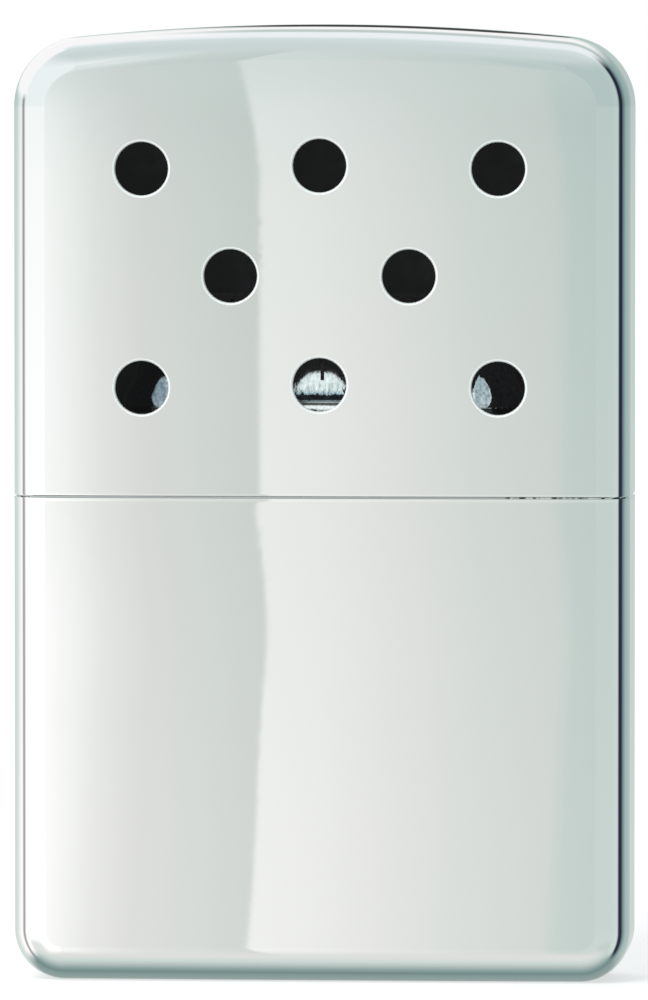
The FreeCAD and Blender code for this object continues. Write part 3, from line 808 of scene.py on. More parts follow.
def vent_tile(left, low, centre, side, depth, radius):
    """From the tile's border straight in to a circle round the hole's centre."""
    circle = centre + radius * turned_to(ROUND_HOLE)
    steps = np.linspace(0, 1, VENT_STEPS + 1) ** VENT_CROWDING
    return on_half(spread(tile_border(left, low), circle, steps), side, depth)


def vent_lip(centre, side):
    """The rounded lip and the cut edge of one hole. The lip's section is a quarter circle, so
    its reach is the hole's radius plus lip * (1 - sin) and its depth lip * (1 - cos)."""
    cos, sin = np.cos(ROUND_HOLE), np.sin(ROUND_HOLE)
    turn = np.append(np.linspace(0, np.pi / 2, LIP_STEPS + 1), [np.pi / 2] * 2)[:, None]
    reach = VENT_RADIUS + VENT_LIP * (1 - np.sin(turn))
    depth = VENT_LIP * (1 - np.cos(turn))
    depth[-2:, 0] = [(VENT_LIP + WALL) / 2, WALL]
    across = centre[0] + reach * cos
    height = centre[1] + reach * sin
    surface, face_normal = on_face(across, SEAM + side * height)
    point = surface - depth[..., None] * face_normal
    lean = across / BOW_RADIUS
    inward = -np.stack([cos * np.sqrt(1 - lean**2), cos * lean, side * sin + 0 * lean], axis=-1)
    normal = np.cos(turn)[..., None] * face_normal + np.sin(turn)[..., None] * inward
    return point, normal


# %% The perforated front
def vent_centres():
    """The middle of every hole as x and height over the seam. Rows arch up a little."""
    centres = []
    longest = max(VENT_ROWS) - 1
    for row, count in enumerate(VENT_ROWS):
        across = (np.arange(count) - (count - 1) / 2) * VENT_PITCH
        arch = VENT_ROW_BOW * (1 - (2 * across / (longest * VENT_PITCH)) ** 2)
        centres += zip(across, VENT_FIRST_ROW + row * VENT_ROW_PITCH + arch)
    return np.array(centres)


def perforated_block(side, depth, radius):
    """The rectangle of tiles with a hole in every other one."""
    centres = vent_centres()
    sheets = []
    for row in range(TILE_ROWS):
        for column in range(TILE_COLUMNS):
            left = -BLOCK_REACH + column * TILE_WIDE
            low = BLOCK_LOW + row * TILE_TALL
            middle = [left + TILE_WIDE / 2, low + TILE_TALL / 2]
            in_tile = (abs(centres - middle) < 1.0).all(axis=1)
            if in_tile.any():
                sheets.append(vent_tile(left, low, centres[in_tile][0], side, depth, radius))
            else:
                across = columns[column * TILE_STEPS : (column + 1) * TILE_STEPS + 1]
                height = levels[row * TILE_STEPS : (row + 1) * TILE_STEPS + 1]
                sheets.append(plain_tiles(side, depth, across, height))
    return sheets


# %% [markdown]
# The rims, and many pieces further down, are sections carried along a closed line, as if a
# template were drawn round the case. A helper rounds the corners of a section and knows the
# normal at each point, so that the bright edges stay clean.

# %% Sections with rounded corners
ARC_STEPS = 5


def section(corners, rounding, closed=True):
    """A line of reach and height with the metal on its left, its corners rounded by arcs. An
    arc begins radius * tan(half the turn) before the corner. A corner without rounding gets
    one point with each run's normal."""
    corners = np.array(corners, dtype=float)
    before = unit(corners - np.roll(corners, 1, axis=0))
    after = np.roll(before, -1, axis=0)
    points, normals = [], []
    for number, (corner, radius) in enumerate(zip(corners, rounding)):
        start, end = before[number], after[number]
        if not closed and number == 0:
            start = end
        if not closed and number == len(corners) - 1:
            end = start
        turn = math.atan2(start[0] * end[1] - start[1] * end[0], start @ end)
        bend = math.copysign(1.0, turn)
        steps = ARC_STEPS if radius else 1
        angle = turn * np.linspace(0, 1, steps + 1) if abs(turn) > NEARLY else np.zeros(1)
        right = np.array([start[1], -start[0]])
        cos, sin = np.cos(angle), np.sin(angle)
        normal = np.stack([right[0] * cos - right[1] * sin, right[0] * sin + right[1] * cos], -1)
        centre = corner - start * radius * math.tan(abs(turn) / 2) - bend * radius * right
        points.append(centre + bend * radius * normal)
        normals.append(normal)
    if closed:
        points.append(points[0][:1])
        normals.append(normals[0][:1])
    return np.concatenate(points), np.concatenate(normals)


def carried(core, outward, line, line_normal):
    """A section carried along a line seen from above: the point is the core plus the section's
    reach along the outward direction, and the normal follows it."""
    points = core[:, None] + line[None, :, :1] * outward[:, None]
    lean = line_normal[None, :, :1] * outward[:, None]
    return with_third(points, line[:, 1]), with_third(lean, line_normal[:, 1])


# %% The rim at the seam
def case_plan():
    """The case seen from above at the seam: a closed line of points and their normals."""
    line, line_normal = on_face(seam_line, np.zeros_like(seam_line))
    core = np.array([[HALF_WIDTH - EDGE, 0.0], [EDGE - HALF_WIDTH, 0.0]])
    outward = np.array([[1.0, 0.0], [-1.0, 0.0]])
    band, band_normal = edge_band(core, outward, 1)
    points, normals = (
        np.concatenate([front, bands[0][1:], (front * MIRROR)[-2::-1], bands[1][-2::-1]])
        for front, bands in ((line, band), (line_normal, band_normal))
    )
    return points[:, :2], normals[:, :2]


COVER_RIM = section(
    [(-WALL, RIM_INSIDE), (-0.02, 0.13), (0, 0.30), (0, RIM_BAND)],
    [0, 0.09, 0.3, 0], closed=False,
)
TANK_RIM = section(
    [(0, -RIM_BAND), (0, -0.30), (0.03, -0.03), (-WALL, -RIM_INSIDE)],
    [0, 0.3, 0.05, 0], closed=False,
)


def rim_patch(side):
    """The rim of one half. The cover's turns in by a hair and the tank's flares out by one, as
    trimmed sheet does, and the shadow gap between them stays open. At the narrow sides the rim
    is shaded straight."""
    line, line_normal = COVER_RIM if side > 0 else TANK_RIM
    plan, outward = case_plan()
    points, normals = carried(plan, outward, line + [0, SEAM], line_normal)
    normals[..., 2] *= (1 - abs(outward[:, None, 0])) ** 2
    return points, unit(normals)


# %% [markdown]
# Pressed sheet is never quite true. A face that is out by a hundredth of a millimetre bends the
# line where the white wall meets the grey one, and that line is what tells the eye that this is
# metal. So the normals of each half get a slow sway of their own, and the points stay as they
# are.

# %% The two halves of the case
CHROME, INSIDE, SATIN = 0, 1, 2


def swayed(sheet, sway):
    """Normals tilted sideways by a function of the height over the seam."""
    points, normals = sheet
    tilt = sway(abs(points[..., 2] - SEAM)) * abs(normals[..., 1])
    return points, unit(normals + tilt[..., None] * np.array([1.0, 0.0, 0.0]))


def case_skin(core, outward, side, depth, rim, vent_radius, lay):
    """One skin of a half: rounding, the ring of both faces, the back and the front. lay turns
    points and normals into a patch."""
    ring = lay(face_ring(core, side, depth, rim))
    plain = lay(plain_tiles(side, depth))
    front = [plain]
    if vent_radius:
        front = [lay(tile) for tile in perforated_block(side, depth, vent_radius)]
    rounding = core.copy()
    rounding[[0, -1], 1] = rim
    band = lay(edge_band(rounding, outward, side, depth))
    return [band, ring, other_side(ring), other_side(plain), *front]


def case_half(side, height, corner, arch, sway, vented=False):
    """All patches of the tank or the cover: outside, vent lips, rim and inside."""
    path = rolling_path(height, corner, arch)
    hole = lip = None
    lips = []
    if vented:
        hole, lip = VENT_RADIUS, VENT_RADIUS + VENT_LIP
        lips = [patch(*vent_lip(centre, side), SATIN) for centre in vent_centres()]

    def polished(sheet):
        return patch(*swayed(sheet, sway), CHROME)

    # The inner skins take the near-black inside finish, a painted shade.
    def painted_shade(sheet):
        return patch(sheet[0], -sheet[1], INSIDE)

    outside = case_skin(*path, side, 0.0, RIM_BAND, lip, polished)
    inside = case_skin(*path, side, WALL, RIM_INSIDE, hole, painted_shade)
    return [*outside, *lips, patch(*rim_patch(side), CHROME), *inside]


# %% Sway and corners of each half
COVER_CORNER = 5.8
TANK_CORNER = 4.2
TOP_RISE = 1.6
TOP_ARCH = (HALF_WIDTH**2 + TOP_RISE**2) / (2 * TOP_RISE)
TOP_SWAY_FROM = 26.5  # millimetres over the seam
TOP_SWAY_BLEND = 9.5
FOOT_SWAY_AT = 38  # millimetres under the seam


def hump(height, middle, width):
    """A smooth hump of one round a height: exp(-((height - middle) / width) ** 2)."""
    return np.exp(-(((height - middle) / width) ** 2))


def cover_sway(height):
    """The cover's faces lean back a little half way up, and most near the top."""
    near_top = np.clip((height - TOP_SWAY_FROM) / TOP_SWAY_BLEND, 0, 1.2) ** 1.6
    return 1e-4 - 4e-4 * hump(height, middle=19, width=6) + 3.3e-3 * near_top


def tank_sway(height):
    """The tank's faces lean one way a quarter of the way down and the other way at both ends."""
    near_seam = 9e-4 * hump(height, middle=0, width=3)
    near_foot = 2.3e-3 * (height / FOOT_SWAY_AT) ** 4
    return near_seam - 1.25e-3 * hump(height, middle=11, width=6.5) + near_foot


make_piece(
    "cover_case",
    case_half(1, TOP - SEAM, COVER_CORNER, TOP_ARCH, cover_sway, vented=True),
    "cover", [chrome, case_inside_painted_shade, satin_rim_painted_glow], "cover_shell",
)
make_piece(
    "tank_case", case_half(-1, SEAM, TANK_CORNER, None, tank_sway),
    "tank", [chrome, case_inside_painted_shade], "tank_shell",
)

# %% [markdown]
# ## Sleeve and neck
# Under the cover, a second pressed cap is soldered into the tank: its walls guide the cover and
# its flat shoulder carries the oblong neck. Both are sections carried along a closed line.

# %% The oblong that neck and burner share
_, cage_high = node_box("burner_cage")
BURNER_REACH = cage_high[0] - cage_high[1]  # from the middle to the centre of a round end
TURN_STEPS = 24


def oblong(lines):
    """A closed line round the oblong. The core stays on the straight between the two centres,
    and the direction outwards is to the front, round the right end, to the back and round."""
    turn = np.linspace(-np.pi / 2, np.pi / 2, TURN_STEPS + 1)[1:-1]
    right_end = turned_to(turn)
    ahead = np.tile([0.0, -1.0], (len(lines), 1))
    outward = np.concatenate([ahead, right_end, -ahead, -right_end, ahead[:1]])
    end = np.full(len(turn), lines[-1])
    across = np.concatenate([lines, end, lines[::-1], -end, lines[:1]])
    return np.stack([across, 0 * across], axis=-1), outward


def onto_oblong(points, radius):
    """The nearest point of an oblong to each point, and the direction outwards there."""
    core = np.clip(points, [-BURNER_REACH, 0.0], [BURNER_REACH, 0.0])
    outward = unit(points - core)
    return core + radius * outward, outward


def strips_between(core, outward):
    """The strips between neighbours on such a line: their middle along X, and whether they lie
    on a straight stretch."""
    middle = (core[:-1, 0] + core[1:, 0]) / 2
    return middle, (outward[:-1, 0] == 0) & (outward[1:, 0] == 0)


plain_lines = np.linspace(-BURNER_REACH, BURNER_REACH, 25)
print(f"oblong centres {2 * BURNER_REACH:.1f} mm apart")

# %% Colours that change from place to place
BURNER_END = 16  # millimetres along X


def along_axis(tree, axis, stops):
    """A ramp along one axis of the object, from millimetres and colours."""
    part = add_node(tree, "SeparateXYZ", {0: object_place(tree)}).outputs[axis]
    start, reach = stops[0][0], stops[-1][0] - stops[0][0]
    step = calculate(tree, "MULTIPLY_ADD", part, 1 / (reach * MM), -start / reach)
    return ramp(tree, step, [((at - start) / reach, colour) for at, colour in stops])


def along_burner(tree, inner, outer, far_left, left, middle, right, far_right):
    """A colour along X that keeps to the middle one as far as inner, and goes over into the
    next by outer and into the last by the burner's end."""
    return along_axis(tree, "X", [
        (-BURNER_END, far_left), (-outer, left), (-inner, middle),
        (inner, middle), (outer, right), (BURNER_END, far_right),
    ])


# %% Tinned steel
tinned = metal("tinned_steel", (0.86, 0.87, 0.86), (0.06, 0.16), (1800, 1800, 1800), 7e-5)
# The collar keeps its pale tin colour in the middle and is painted near black at both ends:
# painted shade.
tinned_tone_and_painted_shade = [grey(level) for level in (0.03, 0.05, 0.86, 0.05, 0.03)]
change(tinned, {"Base Color": along_burner(tinned.node_tree, 11.2, 12.6, *tinned_tone_and_painted_shade)})

# %% Sleeve steel
# Painted shade: a dark line in the gap at the seam, which breaks up into specks to the right.
SEAM_BAND = 0.3  # how far the painted shade line reaches to each side of the seam
SEAM_BLUR = 1.3 * SEAM_BAND
SPECKS_FROM, SPECKS_FULL = 14.5, 15.5
SPECKS = (1000, 1, 1)
sleeve_steel = metal("sleeve_steel", (0.80, 0.80, 0.79), (0.10, 0.26), (50, 50, 5000), 3e-8)
tree = sleeve_steel.node_tree
shade_specks = between(tree, stretched_noise(tree, object_place(tree), SPECKS), 0, 1, 0.42, 0.52)
shade_specks = blend_colours(tree, shade_specks, grey(0.10), grey(0.85))
at_right = along_axis(
    tree, "X", walls_at((-26, 0), (SPECKS_FROM, 0), (SPECKS_FULL, 1), (26, 1))
)
# Painted shade on the sleeve: its own grey darkened in the seam's gap, with dark specks at the
# right.
painted_shade = blend_colours(tree, at_right, grey(0.64), shade_specks)
in_gap = along_axis(tree, "Z", walls_at(
    (SEAM - 2, 0), (SEAM - SEAM_BLUR, 0), (SEAM - SEAM_BAND, 1),
    (SEAM + SEAM_BAND, 1), (SEAM + SEAM_BLUR, 0), (SEAM + 2, 0),
))
change(sleeve_steel, {"Base Color": blend_colours(tree, in_gap, grey(0.80), painted_shade)})

# %% Sleeve
sleeve_low, sleeve_high = node_box("tank_sleeve")
neck_low, neck_high = node_box("filler_neck")
SLEEVE_INSET = HALF_WIDTH - sleeve_high[0]
SLEEVE_WALL = 0.4
SHOULDER_ROUND = 0.8
SLOT_RADIUS = neck_high[1] - 0.45


def level_ring(inner, outer, height, up):
    """A flat ring between two lines at one height, facing up or down."""
    points = with_third(spread(inner, outer, np.linspace(0, 1, 4)), height)
    return patch(points, np.zeros_like(points) + [0, 0, up])


def sleeve_patches():
    """The cap: wall, rounded shoulder and top with its slot, then the same inside."""
    plan, outward = case_plan()
    low, high = sleeve_low[2], sleeve_high[2]
    patches = []
    for inset, radius, facing, top in (
        (SLEEVE_INSET, SHOULDER_ROUND, 1, high),
        (SLEEVE_INSET + SLEEVE_WALL, SHOULDER_ROUND - SLEEVE_WALL, -1, high - SLEEVE_WALL),
    ):
        line, line_normal = section(
            [(-inset, low), (-inset, SEAM), (-inset, top), (-inset - 4, top)],
            [0, 0, radius, 0], closed=False,
        )
        wall, wall_normal = carried(plan, outward, line[:-1], line_normal[:-1])
        edge = wall[:, -1, :2]
        slot, slot_outward = onto_oblong(edge, SLOT_RADIUS)
        patches += [patch(wall, facing * wall_normal), level_ring(slot, edge, top, facing)]
    cut = with_third(np.stack([slot, slot]), np.array([[high], [high - SLEEVE_WALL]]))
    patches.append(patch(cut, with_third(np.stack([-slot_outward] * 2), 0.0)))
    outside = plan - SLEEVE_INSET * outward
    patches.append(level_ring(outside - SLEEVE_WALL * outward, outside, low, -1))
    return patches


make_piece("sleeve", sleeve_patches(), "tank", [sleeve_steel], "tank_sleeve")

# %% Neck
NECK_WALL = 0.4
COLLAR_REACH = 0.5
COLLAR_STEPS = 0.1, 0.37  # heights over the shoulder where the collar begins to round in
COLLAR_INSETS = 0.025, 0.12
neck_radius = neck_high[1] - COLLAR_REACH
bore = neck_radius - NECK_WALL
shoulder = sleeve_high[2]
neck_line = section(
    [
        (bore, neck_low[2]), (neck_radius, neck_low[2]), (neck_radius, shoulder),
        (neck_high[1], shoulder), (neck_high[1], shoulder + COLLAR_STEPS[0]),
        (neck_high[1] - COLLAR_INSETS[0], shoulder + COLLAR_STEPS[1]),
        (neck_high[1] - COLLAR_INSETS[1], neck_high[2]), (bore, neck_high[2]),
    ],
    [0.06, 0.06, 0.08, 0.02, 0.3, 0.6, 0.26, 0.22],
)
neck = make_piece(
    "neck", [patch(*carried(*oblong(plain_lines), *neck_line))],
    "tank", [tinned], "filler_neck",
)

# %% [markdown]
# ## Burner
# The burner is one small assembly that lifts out of the neck. Its skirt has spring slots, and a
# flange rests on the neck. Above it stands the cage, pressed from thin bright sheet with seven
# slits across it. The cage is a sheet with a thickness, so it gets an outer and an inner skin
# with the slits left out of both, and narrow walls where a face has lost its neighbour.

# %% [markdown]
# The cage runs hot. Its sheet is uneven and mottled. Its two ends are painted a dark grey-blue,
# darker at the left: painted reflection and shade of the dark inside of the cover. A bluish band
# along its foot is a painted reflection too. So its colour follows ramps along X and Z, and a
# noise dulls it in spots. The sheet is crimped along its foot, so the grain lifts it most there.

# %% Burner steel
skirt_low, skirt_high = node_box("burner_skirt")
CAGE_FOOT = skirt_high[2]
CAGE_TONE_AND_PAINTED_REFLECTION = (  # from the left end to the right one
    (0.25, 0.33, 0.38), (0.28, 0.36, 0.41), (0.90, 0.92, 0.94), (0.82, 0.88, 0.96),
    (0.62, 0.68, 0.76),
)
# The skirt's own grey in the middle, painted dark at its ends: painted reflection and shade, as
# on the cage's ends.
SKIRT_TONE_AND_PAINTED_SHADE = (
    (0.18, 0.24, 0.27), (0.20, 0.27, 0.30), (0.50, 0.52, 0.52), (0.62, 0.68, 0.76),
    (0.52, 0.58, 0.66),
)
FOOT_PAINTED_REFLECTION = (0.52, 0.64, 0.72)
FOOT_PAINTED_REFLECTION_RAMP = [  # millimetres along Z
    (CAGE_FOOT - 1, FOOT_PAINTED_REFLECTION), (CAGE_FOOT + 0.5, FOOT_PAINTED_REFLECTION),
    (CAGE_FOOT + 0.9, grey(1.0)), (CAGE_FOOT + 9, grey(1.0)),
]
CRIMP = walls_at(  # the same, and a share of the greatest lift
    (CAGE_FOOT - 1, 1.0), (CAGE_FOOT + 0.6, 1.0), (CAGE_FOOT + 1.0, 0.22),
    (CAGE_FOOT + 1.7, 0.08), (CAGE_FOOT + 9, 0.04),
)
CRIMP_LIFT = 1.5e-4  # metres
MOTTLE = (3500, 3500, 2600)
burner_steel = metal(
    "burner_steel", grey(0.9), (0.04, 0.12), (2600, 1200, 1200), CRIMP_LIFT
)
tree = burner_steel.node_tree
in_middle = along_burner(tree, 11.8, 12.6, *[grey(level) for level in (0, 0, 1, 0, 0)])
# The cage's colour along X: its own bright tone in the middle, painted reflection and shade at
# both ends.
tint = along_burner(tree, 11.8, 13, *CAGE_TONE_AND_PAINTED_REFLECTION)
# In the middle, a bluish painted reflection along the foot.
tint = blend_colours(tree, in_middle, tint, along_axis(tree, "Z", FOOT_PAINTED_REFLECTION_RAMP), blend="MULTIPLY")
spots = stretched_noise(tree, object_place(tree), MOTTLE)
spots = blend_colours(
    tree, in_middle, between(tree, spots, 0.42, 1.12), between(tree, spots, 0.72, 1.08)
)
colour = blend_colours(tree, 1.0, tint, spots, blend="MULTIPLY")
change(burner_steel, {"Base Color": colour})
crimp = blend_colours(tree, in_middle, grey(0.05), along_axis(tree, "Z", CRIMP))
lift = calculate(tree, "MULTIPLY", crimp, CRIMP_LIFT)
set_inputs(tree.nodes["Bump"], {"Distance": lift})

skirt_steel = metal("skirt_steel", SKIRT_TONE_AND_PAINTED_SHADE[2], (0.22, 0.36), (900, 900, 3000), 4e-7)
skirt_colour = along_burner(skirt_steel.node_tree, 11.8, 13, *SKIRT_TONE_AND_PAINTED_SHADE)
change(skirt_steel, {"Base Color": skirt_colour})
# A faint painted glow on each burner finish.
for finish in (burner_steel, skirt_steel, tinned):
    painted_glow(finish, 0.005)

# %% Skirt and flange
FLANGE_FOOT = neck_high[2]
SKIRT_WALL = 0.3
SKIRT_INSET = 0.9
SKIRT_RADIUS = cage_high[1] - SKIRT_INSET
SLOT_TALL = 4.2
SLOT_TOP = skirt_low[2] + SLOT_TALL
SLOT_EDGES = np.array([7.25, 7.75])


def skirt_patches():
    """The skirt and its flange as one closed section, with four slots cut up from below."""
    inside = SKIRT_RADIUS - SKIRT_WALL
    line, line_normal = section(
        [
            (inside, SLOT_TOP), (inside, skirt_low[2]), (SKIRT_RADIUS, skirt_low[2]),
            (SKIRT_RADIUS, SLOT_TOP), (SKIRT_RADIUS, FLANGE_FOOT), (skirt_high[1], FLANGE_FOOT),
            (skirt_high[1], CAGE_FOOT), (inside, CAGE_FOOT),
        ],
        [0, 0.08, 0.08, 0, 0.12, 0.06, 0.1, 0.2],
    )
    lines = np.unique(np.concatenate([plain_lines, SLOT_EDGES, -SLOT_EDGES]))
    core, outward = oblong(lines)
    points, normals = carried(core, outward, line, line_normal)
    middle, straight = strips_between(core, outward)
    in_slot = straight & (abs(middle) > SLOT_EDGES[0]) & (abs(middle) < SLOT_EDGES[1])
    at_top = abs(line[:, 1] - SLOT_TOP) < NEARLY
    last = int(np.argmax(at_top & (line[:, 0] > inside + NEARLY)))
    keep = np.ones((len(core) - 1, len(line) - 1), dtype=bool)
    keep[in_slot, :last] = False
    patches = [keep_faces(patch(points, normals), keep)]
    half = last // 2
    for start in np.flatnonzero(in_slot & ~np.roll(in_slot, 1)):
        stop = start + 1
        while in_slot[stop]:
            stop += 1
        for at, beyond in ((start, start + 1), (stop, stop - 1)):
            side = points[at]
            strip = np.stack([side[: half + 1], side[last : last - half - 1 : -1]])
            facing = unit(points[beyond, 0] - points[at, 0])
            patches.append(patch(strip, np.zeros_like(strip) + facing))
        roof = points[start : stop + 1][:, [0, last]]
        patches.append(patch(roof, np.zeros_like(roof) + [0, 0, -1]))
    return patches


make_piece(
    "burner_skirt_sheet", skirt_patches(), "burner", [skirt_steel],
    "burner_skirt",
)

# %% A sheet with openings
def sheet_with_openings(outer, normals, shading, thickness, keep):
    """Two skins, and a wall along every border between a kept face and a missing one. The grid
    is closed in its first direction. In the second it ends in a wall at its start only. The
    outer skin is shaded by normals of its own."""
    inner = outer - thickness * normals
    patches = [
        keep_faces(patch(outer, shading), keep), keep_faces(patch(inner, -normals), keep)
    ]
    ended = np.concatenate([np.zeros_like(keep[:, :1]), keep], axis=1)
    for axis, now, before in (
        (0, keep, np.roll(keep, 1, axis=0)), (1, ended[:, 1:], ended[:, :-1])
    ):
        row, column = np.nonzero(now != before)
        end = (row, column + 1) if axis == 0 else (row + 1, column)
        corners = np.stack(
            [outer[row, column], outer[end], inner[end], inner[row, column]], axis=1
        )
        ahead = (row + 1, column) if axis == 0 else (row, column + 1)
        away = np.where(now[row, column], -1.0, 1.0)[:, None]
        heading = away * (outer[ahead] - outer[row, column])
        flat = np.cross(corners[:, 1] - corners[:, 0], corners[:, 3] - corners[:, 0])
        flat = unit(flat * np.sign((flat * heading).sum(axis=1, keepdims=True)))
        patches.append(loose_faces(corners, flat))
    return patches


# %% Cage
CAGE_WALL = 0.25
CAGE_LEAN = math.radians(12)
CAGE_ROUND = 1.7
CAGE_FLARE = 0.75
FOOT_GAP = 0.03  # between the flange and the cage
FOOT_OUT = 0.52  # how far the flared foot stands out, and the wall in, from the cage's box
WALL_IN = 0.1
FOOT_WALL = 0.03  # the sheet is rolled thin at its very edge, over the height of a wall
SLIT_WIDTH = 0.3
SLIT_PITCH = 3.8
SLIT_COUNT = 7
SLIT_FOOT = 1.65


def leaning(height):
    """A point of the leaning wall's section: its reach and its height."""
    return cage_high[1] - WALL_IN - (height - CAGE_FOOT) * math.tan(CAGE_LEAN), height


# %% How the cage catches the light
CAGE_TURN = 0.06  # the whole sheet is turned a little to the right
CAGE_BEND = 1.3  # and bends more tightly round its ends
END_SHARE = 0.12  # how far an outward direction leans along X where an end begins
END_TILT = math.radians(4.8)  # of the normals at a height of END_LEVEL
END_LEVEL = 0.77
END_TILT_RATE = math.radians(7.5)  # for each millimetre
END_TILT_LEAST = -0.2


def cage_shading(points, normals, outward):
    """Normals as if the sheet were pressed a little untrue, and full at its two ends."""
    at_end = np.clip(abs(outward[:, :1]) / END_SHARE, 0, 1) ** 2
    tilt = np.arcsin(np.clip(normals[..., 2], -1, 1))
    full = END_TILT + END_TILT_RATE * (points[..., 2] - CAGE_FOOT - END_LEVEL)
    tilt = tilt + at_end * (np.clip(full, END_TILT_LEAST, np.pi / 2) - tilt)
    turned = unit(outward * [CAGE_BEND, 1.0] + [CAGE_TURN, 0.0])[:, None]
    return with_third(turned * np.cos(tilt)[..., None], np.sin(tilt))


# %% Aprons
APRON_FROM = 12.0
APRON_BLEND = 0.5
APRON_DROP = 0.62
APRON_REACH = 4.12
APRON_RISE = 1.4
APRON_FLAT = 0.44  # up to this height it keeps its reach


def with_aprons(points, core, outward, heights):
    """The foot of each round end is drawn down over the flange. Heights are over the foot. The
    drop fades out evenly over the apron's rise, and the reach goes smoothly from the apron's
    back to the wall's."""
    at_end = np.clip((abs(points[..., 0]) - APRON_FROM) / APRON_BLEND, 0, 1)
    drop = APRON_DROP * np.clip(1 - heights / APRON_RISE, 0, 1)
    share = np.clip((APRON_RISE - heights) / (APRON_RISE - APRON_FLAT), 0, 1)
    share = at_end * share**2 * (3 - 2 * share)
    reach = np.linalg.norm(points[..., :2] - core[:, None], axis=-1)
    flat = points[..., :2] + (share * (APRON_REACH - reach))[..., None] * outward[:, None]
    return with_third(flat, points[..., 2] - at_end * drop)


# %% The whole cage
def cage_patches():
    """The loaf-shaped cage: a flared foot, leaning walls, a rounded top, and slits over it."""
    top = cage_high[2]
    foot = CAGE_FOOT + FOOT_GAP
    slit = CAGE_FOOT + SLIT_FOOT
    wall = [leaning(height) for height in (foot, slit, (slit + top) / 2, top)]
    line, line_normal = section(
        [(cage_high[1] + FOOT_OUT, foot), *wall, (0.0, top)],
        [0, CAGE_FLARE, 0, 0, CAGE_ROUND, 0], closed=False,
    )
    middles = (np.arange(SLIT_COUNT) - (SLIT_COUNT - 1) / 2) * SLIT_PITCH
    edges = np.concatenate([middles - SLIT_WIDTH / 2, middles + SLIT_WIDTH / 2])
    edges = np.clip(edges, -BURNER_REACH, BURNER_REACH)
    core, outward = oblong(np.unique(np.round(np.concatenate([plain_lines, edges]), 6)))
    points, normals = carried(core, outward, line, line_normal)
    middle, straight = strips_between(core, outward)
    in_slit = straight & (abs(middle[:, None] - middles).min(axis=1) < SLIT_WIDTH / 2)
    above = (line[:-1, 1] > slit - NEARLY) & (line[1:, 1] > slit - NEARLY)
    keep = ~(in_slit[:, None] & above[None, :])
    thickness = np.interp(line[:, 1], [foot, foot + CAGE_WALL], [FOOT_WALL, CAGE_WALL])
    points = with_aprons(points, core, outward, line[:, 1] - foot)
    shading = cage_shading(points, normals, outward)
    return sheet_with_openings(points, normals, shading, thickness[:, None], keep)


cage = make_piece(
    "burner_cage_sheet", cage_patches(), "burner", [burner_steel], "burner_cage"
)

# %% Grid plate
grid_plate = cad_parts["mat_grid"]
for material_slot in grid_plate.material_slots:
    material_slot.material = burner_steel
for piece in (cage, neck, grid_plate):
    lit_by_card.objects.link(piece)
print("grid plate keeps its packed shape")

# %% [markdown]
# ## Soft fillings
# Three soft pieces sit inside: cotton that holds the fuel, a felt pad that closes it in, and the
# catalyst's fibre mat in the cage. Each is a packed mass of fibres, so it is a crowned form with
# a lumpy skin, and loose fibres lie over it as thin tubes that follow the skin. Hair particles
# could do this too, but real tubes also come through an export.

# %% Lumps
WAVES = 16
WAVE_LENGTHS = (0.7, 1.6)  # the shortest and the longest, as parts of the wavelength asked for


def lumps(points, wavelength, seed):
    """A smooth random value from 0 to 1: the mean of plane waves whose directions and phases
    are random, around one wavelength."""
    draw = np.random.default_rng(seed)
    heading = unit(draw.normal(size=(WAVES, 3)))
    pace = 2 * np.pi / (wavelength * draw.uniform(*WAVE_LENGTHS, WAVES))
    waves = np.sin(points @ (heading * pace[:, None]).T + draw.uniform(0, 2 * np.pi, WAVES))
    return np.clip(0.5 + waves.mean(axis=-1), 0, 1)


def skin_normals(points):
    """Normals of a grid that is closed round its rows, from the cross product of its two
    directions. The two poles point up and down."""
    along = np.roll(points, -1, axis=0) - np.roll(points, 1, axis=0)
    rising = np.gradient(points, axis=1)
    normal = np.cross(along, rising)
    normal[:, 0] = [0, 0, -1]
    normal[:, -1] = [0, 0, 1]
    return unit(normal)


# %% Pillow form
PLAN_STEPS = 200
SKIN_STEPS = 56


def evenly(line, count):
    """The same line with its points spread evenly along its length."""
    length = np.append(0, np.cumsum(np.linalg.norm(np.diff(line, axis=0), axis=1)))
    wanted = np.linspace(0, length[-1], count)
    return np.stack([np.interp(wanted, length, column) for column in line.T], axis=-1)


def pillow(low, high, corner, lean=0.0, boxy=5.0):
    """A crowned block inside a box. Seen from above it is a rectangle with round corners. Seen
    from the side its reach and height follow a superellipse: reach = cos(t) ** (2 / boxy) and
    height = sin(t) ** (2 / boxy). Walls may lean in towards the top."""
    half = (high - low) / 2
    turn = np.linspace(0, np.pi / 2, 25)
    bend = half[:2] - corner + corner * turned_to(turn)
    quarter = np.concatenate([[[half[0], 0.0]], bend, [[0.0, half[1]]]])
    quarter = evenly(quarter, PLAN_STEPS // 4 + 1)
    right = np.concatenate([quarter[::-1] * [1, -1], quarter[1:]])
    plan = np.concatenate([right, right[-2:0:-1] * [-1, 1]])
    core = np.clip(plan, corner - half[:2], half[:2] - corner)
    outward = unit(plan - core)
    middle = np.clip(plan, [half[1] - half[0], 0], [half[0] - half[1], 0])

    turn = np.linspace(-np.pi / 2, np.pi / 2, 400)
    reach = np.cos(turn).clip(0) ** (2 / boxy) * half[1]
    height = np.sign(turn) * abs(np.sin(turn)) ** (2 / boxy) * half[2]
    reach, height = evenly(np.stack([reach, height], axis=-1), SKIN_STEPS).T
    reach[[0, -1]] = 0.0
    inset = (height + half[2]) * math.tan(lean)
    edge = plan[:, None] - inset[None, :, None] * outward[:, None]
    flat = middle[:, None] + (reach / half[1])[None, :, None] * (edge - middle[:, None])
    return with_third(flat, height) + (low + high) / 2


